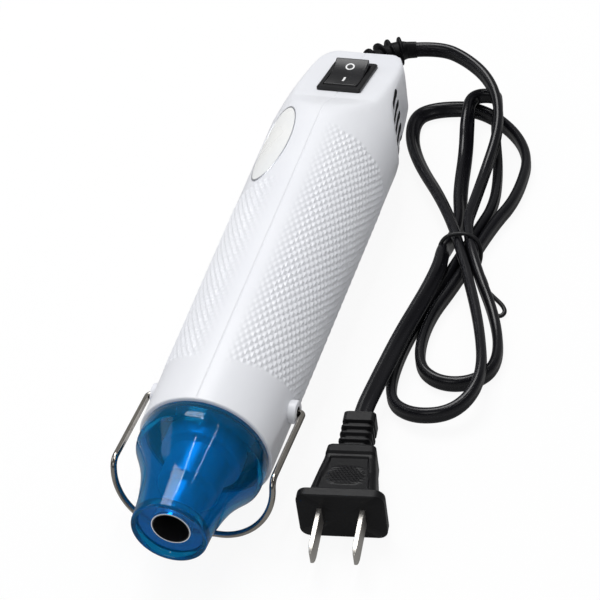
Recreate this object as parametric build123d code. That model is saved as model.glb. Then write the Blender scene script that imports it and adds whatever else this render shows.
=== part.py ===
from build123d import *
import math
import os

os.makedirs("parts", exist_ok=True)

# Driving sizes of the tool, in millimetres. +X runs to the outlet, +Z is up, the belly lies on z = 0.
guard_length = 34.4
handle_length = 139.0
tail_length = 44.7
ring_radius = 20.5
shoulder_radius = 22.2
wall = 2.0
overrun = 60.0
running_clearance = 0.06
fit_clearance = 0.3

# Places that every piece shares
overall_length = guard_length + handle_length + tail_length
ring_x = overall_length / 2 - guard_length
shoulder_x = ring_x - handle_length
rear_x = shoulder_x - tail_length
mouth_x = ring_x + guard_length
axis_z = ring_radius
shoulder_z = shoulder_radius

# Tail: it narrows behind the shoulder, with flat flanks and a raised belly
tail_station_shares = (0, 0.31, 0.55, 0.74, 0.91, 1)
tail_radius_shares = (1, 0.953, 0.884, 0.82, 0.725, 0.61)
flank_station_shares = (0, 0.245, 0.425, 0.78, 0.95, 1)
flank_half_width_shares = (1.02, 0.833, 0.773, 0.73, 0.58, 0.42)
belly_drop_shares = (0.98, 0.585, 0.45, 0.405, 0.37, 0.345)
belly_round_shares = (0.54, 0.45, 0.405, 0.38, 0.31, 0.2)

# Slanted flat for the switch, with a steeper ramp up to the top of the handle
flat_tilt = 13.5
flat_setback = 7.0
flat_drop = 5.5
flat_front_x = shoulder_x - flat_setback
flat_front_z = 2 * shoulder_radius - flat_drop
ramp_length = 11.4
ramp_rise = 5.6

# Air slots in the flanks
slot_count = 5
slot_pitch = 4.9
slot_height = 2.5
slot_length = 14.5
slot_setback = 8.5
slot_front_x = shoulder_x - slot_setback
slot_end_shift = 4.2

# Bosses and wire stand
boss_setback = 19.2
boss_radius = 3.2
boss_proud = 2.5
boss_x = ring_x - boss_setback
boss_out_y = ring_radius + boss_proud
boss_foot_y = ring_radius - wall + fit_clearance
wire_radius = 0.95
wire_bend = 1.4
pin_depth = 3.4
arm_reach = 30.75
arm_rise = 2.6
arm_gap = 0.5
foot_reach = 6.6
foot_drop = 18.6
foot_round = 16.6
kink_round = 3.0

# Guard
collar_length = 6.3
collar_step = 1.0
collar_radius = ring_radius - collar_step
guard_wall = 1.5
guard_station_shares = (0.262, 0.346, 0.419, 0.538, 0.669, 0.814, 0.93, 1)
guard_radius_shares = (0.873, 0.798, 0.742, 0.673, 0.62, 0.58, 0.566, 0.56)
spigot_length = 5.7
recess_depth = 2.0
recess_radius = ring_radius * guard_radius_shares[-1] - guard_wall
rim_round = 0.6

# Outlet tube and heater
outlet_radius = 5.9
barrel_radius = 12.2
tube_wall = 0.6
barrel_setback = 62.0
barrel_lead = 5.0
cone_length = 15.0
barrel_rear_x = ring_x - barrel_setback
barrel_front_x = ring_x + barrel_lead
cone_front_x = barrel_front_x + cone_length
tube_front_x = mouth_x - recess_depth
sleeve_wall = 0.5
sleeve_inset = 3.8
former_thickness = 0.8
former_inset = 5.7
former_end = 2.0
coil_turns = 8
coil_pitch = 4.9
coil_wire_radius = 0.35
fuse_radius = 1.6
fuse_length = 9.0
front_ring_length = 5.0
front_ring_setback = 19.0
front_ring_x = ring_x - front_ring_setback - front_ring_length

# Fan duct, fan and motor, from the barrel backwards
funnel_length = 9.5
funnel_overlap = 3.8
shroud_length = 16.7
shroud_inner_radius = 16.2
shroud_wall = 1.2
shroud_front_x = barrel_rear_x - funnel_length
shroud_rear_x = shroud_front_x - shroud_length
funnel_front_x = barrel_rear_x + funnel_overlap
motor_radius = 13.85
motor_length = 37.8
motor_gap = 2.4
motor_front_x = shroud_rear_x - motor_gap
motor_rear_x = motor_front_x - motor_length
can_wall = 1.2
cap_thickness = 3.0
shaft_radius = 1.15
shaft_tail = 3.0
fan_setback = 3.3
shaft_front_x = shroud_front_x - fan_setback
shaft_rear_x = motor_rear_x - shaft_tail
magnet_thickness = 1.6
armature_gap = 0.6
armature_length = 22.0
armature_slot = 1.6
armature_radius = motor_radius - can_wall - magnet_thickness - armature_gap
bearing_radius = 4.0
bearing_length = 2.5
hub_radius = 6.2
hub_length = 9.6
blade_count = 7
blade_chord = 9.0
blade_thickness = 1.1
blade_pitch_angle = 52
blade_tip_gap = 0.6
fan_radius = shroud_inner_radius - blade_tip_gap
tab_width = 2.8
tab_thickness = 0.5
tab_length = 5.0
tab_offset = 8.0

# Ribs and screws of the clamshell
rib_thickness = 2.0
screw_boss_radius = 2.5
screw_shank_radius = 1.2
screw_head_radius = 2.2
screw_head_length = 1.8
screw_reach = 6.0
screw_sink = 1.2
screw_station_shares = (0.083, 0.381, 0.947)
screw_drop_shares = (0.745, 0.76, 0.77)
tail_screw_setback = 32.5
tail_screw_drop = 5.7
tail_screw_x = shoulder_x - tail_screw_setback
tail_screw_boss_radius = 2.3

# Switch
bezel_length = 22.2
bezel_width = 15.2
bezel_thickness = 1.3
bezel_round = 1.0
window_length = 17.6
window_width = 12.0
switch_wall = 0.9
switch_depth = 12.4
switch_floor = 4.0
switch_back_from_flat = 15.4
rocker_gap = 0.3
rocker_height = 3.1
rocker_dip = 1.5
rocker_pivot_depth = 1.6
rocker_tilt = 9.0
rocker_skirt = 4.6
rocker_foot_length = 9.0
rocker_pin_radius = 1.2
rocker_end_taper = 0.35
blade_width = 4.8
blade_gauge = 0.8
blade_drop = 6.0
blade_spread = 5.5

# Rear: cord boot, clamp, board
boot_drop = 0.7
boot_z = shoulder_z - boot_drop
tail_screw_z = boot_z - tail_screw_drop
boot_hole_radius = 4.1
boot_flange_radius = 5.6
boot_flange_length = 1.5
boot_root_radius = 4.6
boot_tip_radius = 3.3
boot_bend_radius = 14.2
boot_bend_angle = 78
boot_tip_run = 2.2
fin_count = 5
fin_thickness = 1.4
fin_step = 3.5
fin_start = 2.0
fin_radius = 5.5
fin_shrink = 0.2
clamp_length = 3.0
clamp_width = 16.0
clamp_height = 5.0
clamp_gap = 4.1
clamp_x = rear_x + wall + boot_flange_length + clamp_gap
clamp_screw_y = 6.4
post_radius = 1.9
lead_radius = 0.7
lead_offset = 1.1
lead_run = 2.7
lead_bend = 1.2
lead_spread = 6.5
lead_drop = 3.5
lead_rise = 1.5
lead_turn = 6.2
inner_wire_radius = 0.8
inner_cord_radius = 2.2
inner_cord_length = 7.5
board_length = 15.0
board_width = 19.0
board_thickness = 1.2
board_gap = 0.8
board_x = motor_rear_x - shaft_tail - board_gap
diode_radius = 1.3
diode_length = 4.4
diode_pitch = 3.4

# Cord
cord_diameter = 4.4
cord_gap = 0.3
level_step = 5.1
waist_setback = 117.0
waist_x = ring_x - waist_setback
waist_y = 48.5
hank_lean = 10.5
cord_low_z = cord_diameter / 2
tie_radius = 0.65
tie_width = 19.8
tie_height = 11.7
tie_corner = 3.6

# Plug
flange_width = 26.0
flange_height = 17.5
flange_thickness = 3.2
flange_round = 3.0
plug_body_length = 21.0
plug_back_width = 15.6
plug_back_height = 11.5
plug_relief_length = 20.0
plug_relief_width = 9.8
plug_relief_height = 8.2
plug_rib_count = 4
plug_rib_depth = 1.2
plug_rib_gap = 1.8
grip_length = 8.0
grip_depth = 0.8
pin_spacing = 12.7
pin_width = 6.35
pin_gauge = 1.5
pin_length = 16.5
plug_heading = 7
plug_setback = 35.0
plug_tip_x = ring_x - plug_setback
plug_tip_y = 37.5

# Sticker
sticker_length = 37.0
sticker_width = 14.0
sticker_thickness = 0.25
sticker_ahead = 20.5
sticker_x = shoulder_x + sticker_ahead
sticker_turn = 35


def disc(x, radius, z):
    """A round section square to the tool's axis."""
    return Plane(origin=(x, 0, z), x_dir=(0, 1, 0), z_dir=(1, 0, 0)) * Circle(radius)


def rod(x_start, x_end, radius, z):
    """A round bar along X."""
    return extrude(disc(x_start, radius, z), amount=x_end - x_start)


def pipe(x_start, x_end, outer, inner, z):
    """A round tube along X."""
    return rod(x_start, x_end, outer, z) - rod(x_start - overrun, x_end + overrun, inner, z)


def cross_rod(x, y_start, y_end, radius, z):
    """A round bar along Y."""
    section = Plane(origin=(x, y_start, z), x_dir=(1, 0, 0), z_dir=(0, 1, 0)) * Circle(radius)
    return extrude(section, amount=y_end - y_start)


def block(x_start, x_end, y_start, y_end, z_start, z_end):
    """A box between two corners."""
    centre = Pos((x_start + x_end) / 2, (y_start + y_end) / 2, (z_start + z_end) / 2)
    return centre * Box(x_end - x_start, y_end - y_start, z_end - z_start)


def turned(points, z):
    """A solid turned about the axis at height z, from (x, radius) corners."""
    outline = Polyline(*[(x, 0, z + radius) for x, radius in points], close=True)
    return revolve(make_face(outline), Axis((0, 0, z), (1, 0, 0)))


def save(shape, name):
    """Writes one node."""
    export_step(shape, "parts/" + name + ".step")


def handle_radius(x):
    """Outer radius of the handle; the belly stays level, so the section's centre is as high."""
    share = (ring_x - x) / handle_length
    return ring_radius + (shoulder_radius - ring_radius) * share


def tail_round(inset):
    """The round body of the tail, turned about the shoulder's centre."""
    points = []
    for station, share in zip(tail_station_shares, tail_radius_shares):
        x = shoulder_x - (tail_length - inset) * station
        points.append((x, 0, shoulder_z + shoulder_radius * share - inset))
    top = Spline(*points, tangents=((-1, 0, 0), (-0.6, 0, -0.8)))
    rear = Line(points[-1], (points[-1][0], 0, shoulder_z))
    base = Line((points[-1][0], 0, shoulder_z), (shoulder_x, 0, shoulder_z))
    front = Line((shoulder_x, 0, shoulder_z), points[0])
    outline = make_face([top, rear, base, front])
    return revolve(outline, Axis((0, 0, shoulder_z), (1, 0, 0)))


def tail_flanks(inset):
    """The flat flanks and the raised belly, as one ruled form that the round body is cut to."""
    sections = []
    lid = shoulder_z + shoulder_radius + wall
    rows = zip(flank_station_shares, flank_half_width_shares, belly_drop_shares, belly_round_shares)
    for station, width_share, drop_share, round_share in rows:
        x = shoulder_x - (tail_length - inset) * station
        half = shoulder_radius * width_share - inset
        low = shoulder_z - shoulder_radius * drop_share + inset - wall
        corner = shoulder_radius * round_share - inset / 2
        low = low if station else low - wall
        height = lid - low
        plane = Plane(origin=(x, 0, (lid + low) / 2), x_dir=(0, 1, 0), z_dir=(1, 0, 0))
        profile = plane * Rectangle(2 * half, height)
        bottom = profile.vertices().group_by(Axis.Z)[0]
        sections.append(fillet(bottom, corner))
    return loft(sections, ruled=True)


def above_flat(inset):
    """What the slanted flat and its ramp take away."""
    slope = math.tan(math.radians(flat_tilt))
    end_x = rear_x - wall
    end_z = flat_front_z - (flat_front_x - end_x) * slope
    top = axis_z + 2 * shoulder_radius
    corners = [
        (end_x, 0, end_z - inset),
        (flat_front_x, 0, flat_front_z - inset),
        (flat_front_x + ramp_length, 0, flat_front_z + ramp_rise - inset),
        (flat_front_x + 2 * ramp_length, 0, flat_front_z + 2 * ramp_rise - inset),
        (flat_front_x + 2 * ramp_length, 0, top + ramp_rise),
        (end_x, 0, top + ramp_rise),
    ]
    face = make_face(Polyline(*corners, close=True))
    return extrude(face, amount=overrun / 2, both=True)


def body_form(inset):
    """The closed outer form of the handle and tail, drawn in by inset."""
    front = disc(ring_x, ring_radius - inset, axis_z)
    back = disc(shoulder_x, shoulder_radius - inset, shoulder_z)
    handle = loft([back, front], ruled=True)
    tail = tail_round(inset) & tail_flanks(inset)
    return handle + tail - above_flat(inset)


def ring_rib(x, bore):
    """A cross rib inside the housing with a round seat on the tool's axis."""
    return pipe(x, x + rib_thickness, shoulder_radius, bore, axis_z) & body_form(wall / 2)


def switch_frame():
    """The plane of the slanted flat at the switch's centre."""
    tilt = math.radians(flat_tilt)
    x = flat_front_x - switch_back_from_flat
    z = flat_front_z - switch_back_from_flat * math.tan(tilt)
    return Plane(origin=(x, 0, z), x_dir=(math.cos(tilt), 0, math.sin(tilt)),
                 z_dir=(-math.sin(tilt), 0, math.cos(tilt)))


def screw_places():
    """Centre of each housing screw, as (x, z)."""
    places = []
    for station, share in zip(screw_station_shares, screw_drop_shares):
        x = ring_x - handle_length * station
        places.append((x, handle_radius(x) * (1 - share)))
    return places + [(tail_screw_x, tail_screw_z)]


def flank_y(x, z):
    """Half-width of the outer form at a screw."""
    if x < shoulder_x:
        return shoulder_radius * flank_half_width_shares[3]
    radius = handle_radius(x)
    return math.sqrt(radius ** 2 - (z - radius) ** 2)


def make_housing():
    """The two halves of the clamshell, with ribs, bosses, slots and openings."""
    shell = body_form(0) - body_form(wall)
    bore = ring_radius - wall
    shell -= rod(ring_x - spigot_length - fit_clearance, ring_x + wall, bore, axis_z)
    for x, seat in (
        (front_ring_x - rib_thickness - fit_clearance, barrel_radius + fit_clearance),
        (front_ring_x + front_ring_length + fit_clearance, barrel_radius + fit_clearance),
        (shroud_rear_x + rib_thickness, shroud_inner_radius + shroud_wall + fit_clearance),
        (motor_front_x - 2 * rib_thickness, motor_radius + fit_clearance),
        (motor_rear_x + 2 * rib_thickness, motor_radius + fit_clearance),
    ):
        shell += ring_rib(x, seat)
    inner = body_form(wall / 2)
    for x, z in screw_places():
        radius = tail_screw_boss_radius if x < shoulder_x else screw_boss_radius
        shell += cross_rod(x, -overrun, overrun, radius, z) & inner
    post_x = clamp_x + clamp_length / 2
    post_top = boot_z + inner_cord_radius
    for side in (-1, 1):
        shell += cross_rod(boss_x, side * boss_foot_y, side * boss_out_y, boss_radius, axis_z)
        post = Plane(origin=(post_x, side * clamp_screw_y, 0)) * Circle(post_radius)
        shell += extrude(post, amount=post_top) & inner
        pilot = Plane(origin=(post_x, side * clamp_screw_y, post_top - clamp_height)) * Circle(inner_wire_radius)
        shell -= extrude(pilot, amount=overrun / 2 - ring_radius / 2)
    shell -= rod(ring_x - spigot_length - fit_clearance, ring_x + wall, bore - wall / 2, axis_z)
    shell -= slot_cutters()
    frame = switch_frame()
    cut_length = window_length + 2 * switch_wall + fit_clearance
    cut_width = window_width + 2 * switch_wall + fit_clearance
    shell -= frame.location * Box(cut_length, cut_width, switch_depth)
    shell -= rod(rear_x - wall, rear_x + 2 * wall, boot_hole_radius + running_clearance, boot_z)
    for side in (-1, 1):
        hole_end = side * (boss_out_y - pin_depth - fit_clearance)
        hole_radius = wire_radius + running_clearance
        shell -= cross_rod(boss_x, hole_end, side * (boss_out_y + wall), hole_radius, axis_z)
    left = shell & block(rear_x - wall, mouth_x, -overrun, 0, -wall, overrun)
    right = shell & block(rear_x - wall, mouth_x, 0, overrun, -wall, overrun)
    for x, z in screw_places():
        half = flank_y(x, z)
        head_seat = -half + screw_sink + screw_head_length
        shank = screw_shank_radius + fit_clearance
        left -= cross_rod(x, -overrun, head_seat, screw_head_radius + fit_clearance, z)
        left -= cross_rod(x, -overrun, 0, shank, z)
        right -= cross_rod(x, 0, screw_reach + fit_clearance, screw_shank_radius, z)
    return left, right


def slot_cutters():
    """The air slots of both flanks, each as long as the flat flank has room for."""
    cutters = []
    middle = (slot_count - 1) / 2
    for index in range(slot_count):
        place = index - middle
        shift = slot_end_shift * (place / middle) ** 2
        length = slot_length - 2 * shift * 0.6
        centre_x = slot_front_x - slot_length / 2 - shift * 0.4
        z = shoulder_z + place * slot_pitch
        plane = Plane(origin=(centre_x, 0, z), x_dir=(1, 0, 0), z_dir=(0, -1, 0))
        slot = plane * SlotOverall(length, slot_height)
        for side in (-1, 1):
            inner = side * shoulder_radius * flank_half_width_shares[4]
            cutters.append(Pos(0, inner, 0) * extrude(slot, amount=-side * overrun / 2))
    return cutters


def make_screws():
    """The four screws that close the clamshell, heads in the left half."""
    screws = []
    for x, z in screw_places():
        half = flank_y(x, z)
        head_in = -half + screw_sink + screw_head_length
        head = cross_rod(x, -half + screw_sink, head_in, screw_head_radius, z)
        slot = block(x - screw_head_radius, x + screw_head_radius, -half, -half + 1.5 * screw_sink,
                     z - screw_sink / 4, z + screw_sink / 4)
        shank = cross_rod(x, head_in, screw_reach, screw_shank_radius - running_clearance, z)
        screws.append(head + shank - slot)
    return Compound(children=screws)


def guard_radius(share):
    """Outer radius of the guard's funnel at one of its stations."""
    return ring_radius * share


def make_guard():
    """The blue guard: collar, funnel, rim with a sunk face, and the spigot in the housing."""
    stations = [ring_x + guard_length * share for share in guard_station_shares]
    radii = [guard_radius(share) for share in guard_radius_shares]
    outer = [(x, 0, axis_z + radius) for x, radius in zip(stations, radii)]
    inner = [(x, 0, z - guard_wall) for x, _, z in outer[:-1]]
    sunk_x = mouth_x - recess_depth
    inner_front_x = sunk_x - guard_wall
    collar_x = ring_x + collar_length
    spigot = ring_radius - wall - fit_clearance
    hole = outlet_radius + fit_clearance
    outer_curve = Spline(*outer, tangents=((0.72, 0, -0.69), (1, 0, 0)))
    inner_points = inner[:-1] + [(inner_front_x, 0, inner[-1][2])]
    inner_curve = Spline(*inner_points, tangents=((0.72, 0, -0.69), (1, 0, 0)))
    walls = Polyline(
        outer[-1],
        (mouth_x, 0, axis_z + recess_radius),
        (sunk_x, 0, axis_z + recess_radius),
        (sunk_x, 0, axis_z + hole),
        (inner_front_x, 0, axis_z + hole),
        inner_points[-1],
    )
    back = Polyline(
        inner_points[0],
        (collar_x - guard_wall / 2, 0, axis_z + collar_radius - guard_wall),
        (ring_x + guard_wall, 0, axis_z + collar_radius - guard_wall),
        (ring_x, 0, axis_z + spigot - guard_wall),
        (ring_x - spigot_length, 0, axis_z + spigot - guard_wall),
        (ring_x - spigot_length, 0, axis_z + spigot),
        (ring_x, 0, axis_z + spigot),
        (ring_x, 0, axis_z + collar_radius),
        (collar_x, 0, axis_z + collar_radius),
        outer[0],
    )
    face = make_face([outer_curve, walls, inner_curve, back])
    guard = revolve(face, Axis((0, 0, axis_z), (1, 0, 0)))
    return fillet(guard.edges().filter_by(GeomType.CIRCLE).group_by(Axis.X)[-1], rim_round)


def make_outlet_tube():
    """The metal tube: a wide barrel round the heater, a cone and the outlet."""
    outside = [
        (barrel_rear_x, barrel_radius), (barrel_front_x, barrel_radius),
        (cone_front_x, outlet_radius), (tube_front_x, outlet_radius),
    ]
    inside = [(x, radius - tube_wall) for x, radius in reversed(outside)]
    return turned(outside + inside, axis_z)


def make_sleeve():
    """The mica liner of the barrel."""
    outer = barrel_radius - tube_wall - fit_clearance
    return pipe(barrel_rear_x + sleeve_inset, barrel_front_x - sleeve_inset, outer, outer - sleeve_wall, axis_z)


def former_half_width():
    """Half-width of the mica cross between its wider ends."""
    return barrel_radius - tube_wall - sleeve_wall - 2 * fit_clearance - 4 * coil_wire_radius


def make_former():
    """The mica cross that carries the coil, with wider ends that sit in the sleeve."""
    start = barrel_rear_x + former_inset
    end = barrel_front_x - former_inset
    half = former_half_width()
    wide = barrel_radius - tube_wall - sleeve_wall - 2 * fit_clearance
    thin = former_thickness / 2
    cross = block(start, end, -half, half, axis_z - thin, axis_z + thin)
    cross += block(start, end, -thin, thin, axis_z - half, axis_z + half)
    for x in (start, end - former_end):
        cross += block(x, x + former_end, -wide, wide, axis_z - thin, axis_z + thin)
        cross += block(x, x + former_end, -thin, thin, axis_z - wide, axis_z + wide)
    return cross


def make_fuse():
    """The thermal fuse, lying in a corner of the mica cross."""
    offset = former_thickness / 2 + fuse_radius + fit_clearance / 2
    start = barrel_rear_x + former_inset + former_end
    body = rod(start, start + fuse_length, fuse_radius, axis_z + offset)
    return Pos(0, offset, 0) * body


def unit(x, y, z):
    """A vector of length one."""
    return Vector(x, y, z).normalized()


def arc_or_line(start, end, tangent):
    """The arc from start along tangent to end, or a line where they are in line."""
    chord = end - start
    if chord.get_angle(tangent) < 0.01:
        return Line(start, end)
    return TangentArc(start, end, tangent=tangent)


def biarc(start, start_way, end, end_way):
    """Two tangent arcs that join two points, each with its own direction."""
    chord = end - start
    both = start_way + end_way
    spread = 2 * (1 - start_way.dot(end_way))
    reach = chord.dot(both)
    if spread < 1e-9:
        leg = chord.dot(chord) / (4 * chord.dot(end_way))
    else:
        leg = (math.sqrt(reach ** 2 + spread * chord.dot(chord)) - reach) / spread
    middle = (start + end + (start_way - end_way) * leg) / 2
    first = arc_or_line(start, middle, start_way)
    second_way = first % 1
    return [first, arc_or_line(middle, end, second_way)]


def swept_tube(edges, radius):
    """A round tube along joined arcs."""
    path = Wire(edges)
    start = path @ 0
    section = Plane(origin=start, z_dir=path % 0) * Circle(radius)
    return sweep(section, path=path)


def make_coil():
    """The resistance wire, wound round the cross in half turns."""
    radius = former_half_width() + coil_wire_radius + fit_clearance / 2
    start = barrel_rear_x + former_inset + former_end + coil_pitch
    edges = []
    step = coil_pitch / 2
    for half_turn in range(2 * coil_turns):
        side = 1 if half_turn % 2 else -1
        a = Vector(start + half_turn * step, 0, axis_z - side * radius)
        b = Vector(start + (half_turn + 1) * step, 0, axis_z + side * radius)
        lead = step / (math.pi * radius)
        edges += biarc(a, unit(lead, side, 0), b, unit(lead, -side, 0))
    return swept_tube(edges, coil_wire_radius)


def make_front_ring():
    """The ceramic ring that centres the barrel in the housing."""
    outer = ring_radius - wall - fit_clearance
    inner = barrel_radius + fit_clearance
    return pipe(front_ring_x, front_ring_x + front_ring_length, outer, inner, axis_z)


def make_motor():
    """Can, cap, magnets and tabs of the small DC motor."""
    can = pipe(motor_rear_x + cap_thickness, motor_front_x, motor_radius, motor_radius - can_wall, axis_z)
    bore = shaft_radius + running_clearance
    can += pipe(motor_front_x - can_wall, motor_front_x, motor_radius - can_wall / 2, bore, axis_z)
    can += pipe(motor_front_x - can_wall, motor_front_x + bearing_length, bearing_radius, bore, axis_z)
    cap = pipe(motor_rear_x, motor_rear_x + cap_thickness, motor_radius - fit_clearance, bore, axis_z)
    cap += pipe(motor_rear_x - bearing_length, motor_rear_x + cap_thickness, bearing_radius, bore, axis_z)
    outer = motor_radius - can_wall - fit_clearance / 2
    middle_x = (motor_rear_x + cap_thickness + motor_front_x - can_wall) / 2
    half = armature_length / 2
    ring = pipe(middle_x - half, middle_x + half, outer, outer - magnet_thickness, axis_z)
    gap = block(middle_x - overrun, middle_x + overrun, -motor_radius / 4, motor_radius / 4,
                axis_z - motor_radius, axis_z + motor_radius)
    magnets = ring - gap
    tabs = []
    for side in (-1, 1):
        y = side * tab_offset
        tabs.append(block(motor_rear_x - tab_length, motor_rear_x, y - tab_thickness / 2,
                          y + tab_thickness / 2, axis_z - tab_width / 2, axis_z + tab_width / 2))
    return can, cap, magnets, Compound(children=tabs)


def make_rotor():
    """Shaft, armature and fan wheel, which spin together."""
    shaft = rod(shaft_rear_x, shaft_front_x, shaft_radius, axis_z)
    middle_x = (motor_rear_x + cap_thickness + motor_front_x - can_wall) / 2
    half = armature_length / 2
    armature = pipe(middle_x - half, middle_x + half, armature_radius, shaft_radius, axis_z)
    for index in range(3):
        groove = block(middle_x - half - wall, middle_x + half + wall, -armature_slot / 2,
                       armature_slot / 2, axis_z + armature_radius / 2, axis_z + motor_radius)
        armature -= groove.rotate(Axis((0, 0, axis_z), (1, 0, 0)), 120 * index)
    hub_front = shaft_front_x
    hub_rear = hub_front - hub_length
    wheel = pipe(hub_rear, hub_front, hub_radius, shaft_radius, axis_z)
    room = pipe(hub_rear, hub_front, fan_radius, hub_radius - blade_thickness, axis_z)
    for index in range(blade_count):
        blade = Box(blade_chord, blade_thickness, 2 * fan_radius)
        blade = Pos((hub_front + hub_rear) / 2, 0, axis_z + fan_radius) * (Rot(0, 0, 90 - blade_pitch_angle) * blade)
        blade = blade.rotate(Axis((0, 0, axis_z), (1, 0, 0)), 360 / blade_count * index)
        wheel += blade & room
    return shaft, armature, wheel


def make_shroud():
    """The duct round the fan, which narrows to the barrel."""
    outer = shroud_inner_radius + shroud_wall
    end = barrel_radius + fit_clearance
    return turned([
        (shroud_rear_x, outer), (shroud_front_x, outer), (barrel_rear_x - fit_clearance, end + shroud_wall),
        (funnel_front_x, end + shroud_wall), (funnel_front_x, end), (barrel_rear_x - fit_clearance, end),
        (shroud_front_x, shroud_inner_radius), (shroud_rear_x, shroud_inner_radius),
    ], axis_z)


def make_switch():
    """Frame and body of the switch, with the well the rocker moves in."""
    frame = switch_frame().location
    bezel = Pos(0, 0, bezel_thickness / 2) * Box(bezel_length, bezel_width, bezel_thickness)
    bezel = fillet(bezel.edges().filter_by(Axis.Z), bezel_round)
    bezel = chamfer(bezel.faces().sort_by(Axis.Z)[-1].edges(), bezel_thickness / 3)
    outer_length = window_length + 2 * switch_wall
    outer_width = window_width + 2 * switch_wall
    body = Pos(0, 0, -switch_depth / 2) * Box(outer_length, outer_width, switch_depth)
    well_depth = switch_depth - switch_floor + bezel_thickness
    well = Pos(0, 0, bezel_thickness - well_depth / 2) * Box(window_length, window_width, well_depth)
    seat = cross_rod(0, -overrun / 2, overrun / 2, rocker_pin_radius + running_clearance, -rocker_pivot_depth)
    terminals = []
    for place in (-1, 1):
        blade = Box(blade_gauge, blade_width, blade_drop)
        terminals.append(frame * (Pos(place * blade_spread, 0, -switch_depth - blade_drop / 2) * blade))
    return frame * (bezel + body - well - seat), Compound(children=terminals)


def make_rocker():
    """The rocker, with the O end up, on two short pins."""
    half = window_length / 2 - rocker_gap - rocker_end_taper
    skirt = window_length / 2 - 2 * rocker_gap
    outline = Polyline(
        (-half, 0, rocker_height), (0, 0, rocker_height - rocker_dip), (half, 0, rocker_height),
        (skirt, 0, -rocker_pivot_depth), (rocker_foot_length / 2, 0, -rocker_pivot_depth - rocker_skirt),
        (-rocker_foot_length / 2, 0, -rocker_pivot_depth - rocker_skirt),
        (-skirt, 0, -rocker_pivot_depth), close=True)
    half_width = window_width / 2 - rocker_gap
    body = extrude(make_face(outline), amount=half_width, both=True)
    pin_end = window_width / 2 + switch_wall - rocker_gap
    body += cross_rod(0, -pin_end, pin_end, rocker_pin_radius, -rocker_pivot_depth)
    pivot = Axis((0, 0, -rocker_pivot_depth), (0, 1, 0))
    return switch_frame().location * body.rotate(pivot, rocker_tilt)


def make_wire_stand():
    """The bent wire: a pin in each boss, two arms and a round foot."""
    arm_y = boss_out_y + arm_gap + wire_radius
    pin_y = boss_out_y - pin_depth
    kink = Vector(boss_x + arm_reach, 0, axis_z + arm_rise)
    low = kink + Vector(foot_reach, 0, -foot_drop)
    points = [(boss_x, pin_y, axis_z), (boss_x, arm_y, axis_z), (kink.X, arm_y, kink.Z),
              (low.X, arm_y, low.Z), (low.X, -arm_y, low.Z), (kink.X, -arm_y, kink.Z),
              (boss_x, -arm_y, axis_z), (boss_x, -pin_y, axis_z)]
    radii = [wire_bend, kink_round, foot_round, foot_round, kink_round, wire_bend]
    path = FilletPolyline(*points, radius=radii)
    section = Plane(origin=points[0], z_dir=(0, 1, 0)) * Circle(wire_radius)
    return sweep(section, path=path)


def boot_station(distance):
    """Place and direction of the cord boot's centre line, at a distance from the rear face."""
    bend_length = math.radians(boot_bend_angle) * boot_bend_radius
    turn = min(distance, bend_length) / boot_bend_radius
    straight = max(distance - bend_length, 0)
    way = Vector(-math.cos(turn), math.sin(turn), 0)
    x = rear_x - boot_bend_radius * math.sin(turn) + way.X * straight
    y = boot_bend_radius * (1 - math.cos(turn)) + way.Y * straight
    return Vector(x, y, boot_z), way


def boot_length():
    """Length of the boot outside the housing."""
    return math.radians(boot_bend_angle) * boot_bend_radius + boot_tip_run


def boot_disc(distance, radius):
    """A round section of the boot."""
    place, way = boot_station(distance)
    return Plane(origin=place, x_dir=(0, 0, 1), z_dir=way) * Circle(radius)


def make_boot():
    """The rubber boot: a flange inside, a tapered neck and fins outside."""
    length = boot_length()
    count = fin_count * 2
    sections = []
    for index in range(count + 1):
        distance = length * index / count
        radius = boot_root_radius + (boot_tip_radius - boot_root_radius) * index / count
        sections.append(boot_disc(distance, radius))
    boot = loft(sections, ruled=True)
    boot += rod(rear_x, rear_x + wall, boot_hole_radius, boot_z)
    boot += rod(rear_x + wall + running_clearance, rear_x + wall + running_clearance + boot_flange_length,
                boot_flange_radius, boot_z)
    boot += rod(rear_x, rear_x + wall + boot_flange_length, boot_hole_radius, boot_z)
    for index in range(fin_count):
        distance = fin_start + fin_step * index
        radius = fin_radius - fin_shrink * index
        place, way = boot_station(distance)
        fin = extrude(boot_disc(distance, radius), amount=fin_thickness / 2, both=True)
        boot += fin
    return boot


def make_cord_clamp():
    """The bar that holds the cord inside the rear, and the screws that pull it on its posts."""
    half = clamp_width / 2
    low = boot_z + inner_cord_radius + running_clearance
    top = low + clamp_height / 2
    bar = block(clamp_x, clamp_x + clamp_length, -half, half, low, top)
    screws = []
    for side in (-1, 1):
        place = (clamp_x + clamp_length / 2, side * clamp_screw_y)
        hole = Plane(origin=(*place, low)) * Circle(inner_wire_radius + running_clearance)
        bar -= extrude(hole, amount=clamp_height)
        shank = Plane(origin=(*place, low - clamp_height / 2)) * Circle(inner_wire_radius - running_clearance)
        head = Plane(origin=(*place, top)) * Circle(clamp_length / 2)
        screws.append(extrude(shank, amount=clamp_height) + extrude(head, amount=inner_wire_radius))
    return bar, Compound(children=screws)


def lead_wire(points):
    """One insulated wire through its corners."""
    path = FilletPolyline(*points, radius=[min(lead_bend, radius) for radius in route_radii(points)])
    section = Plane(origin=points[0], z_dir=path % 0) * Circle(lead_radius)
    return sweep(section, path=path)


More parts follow.
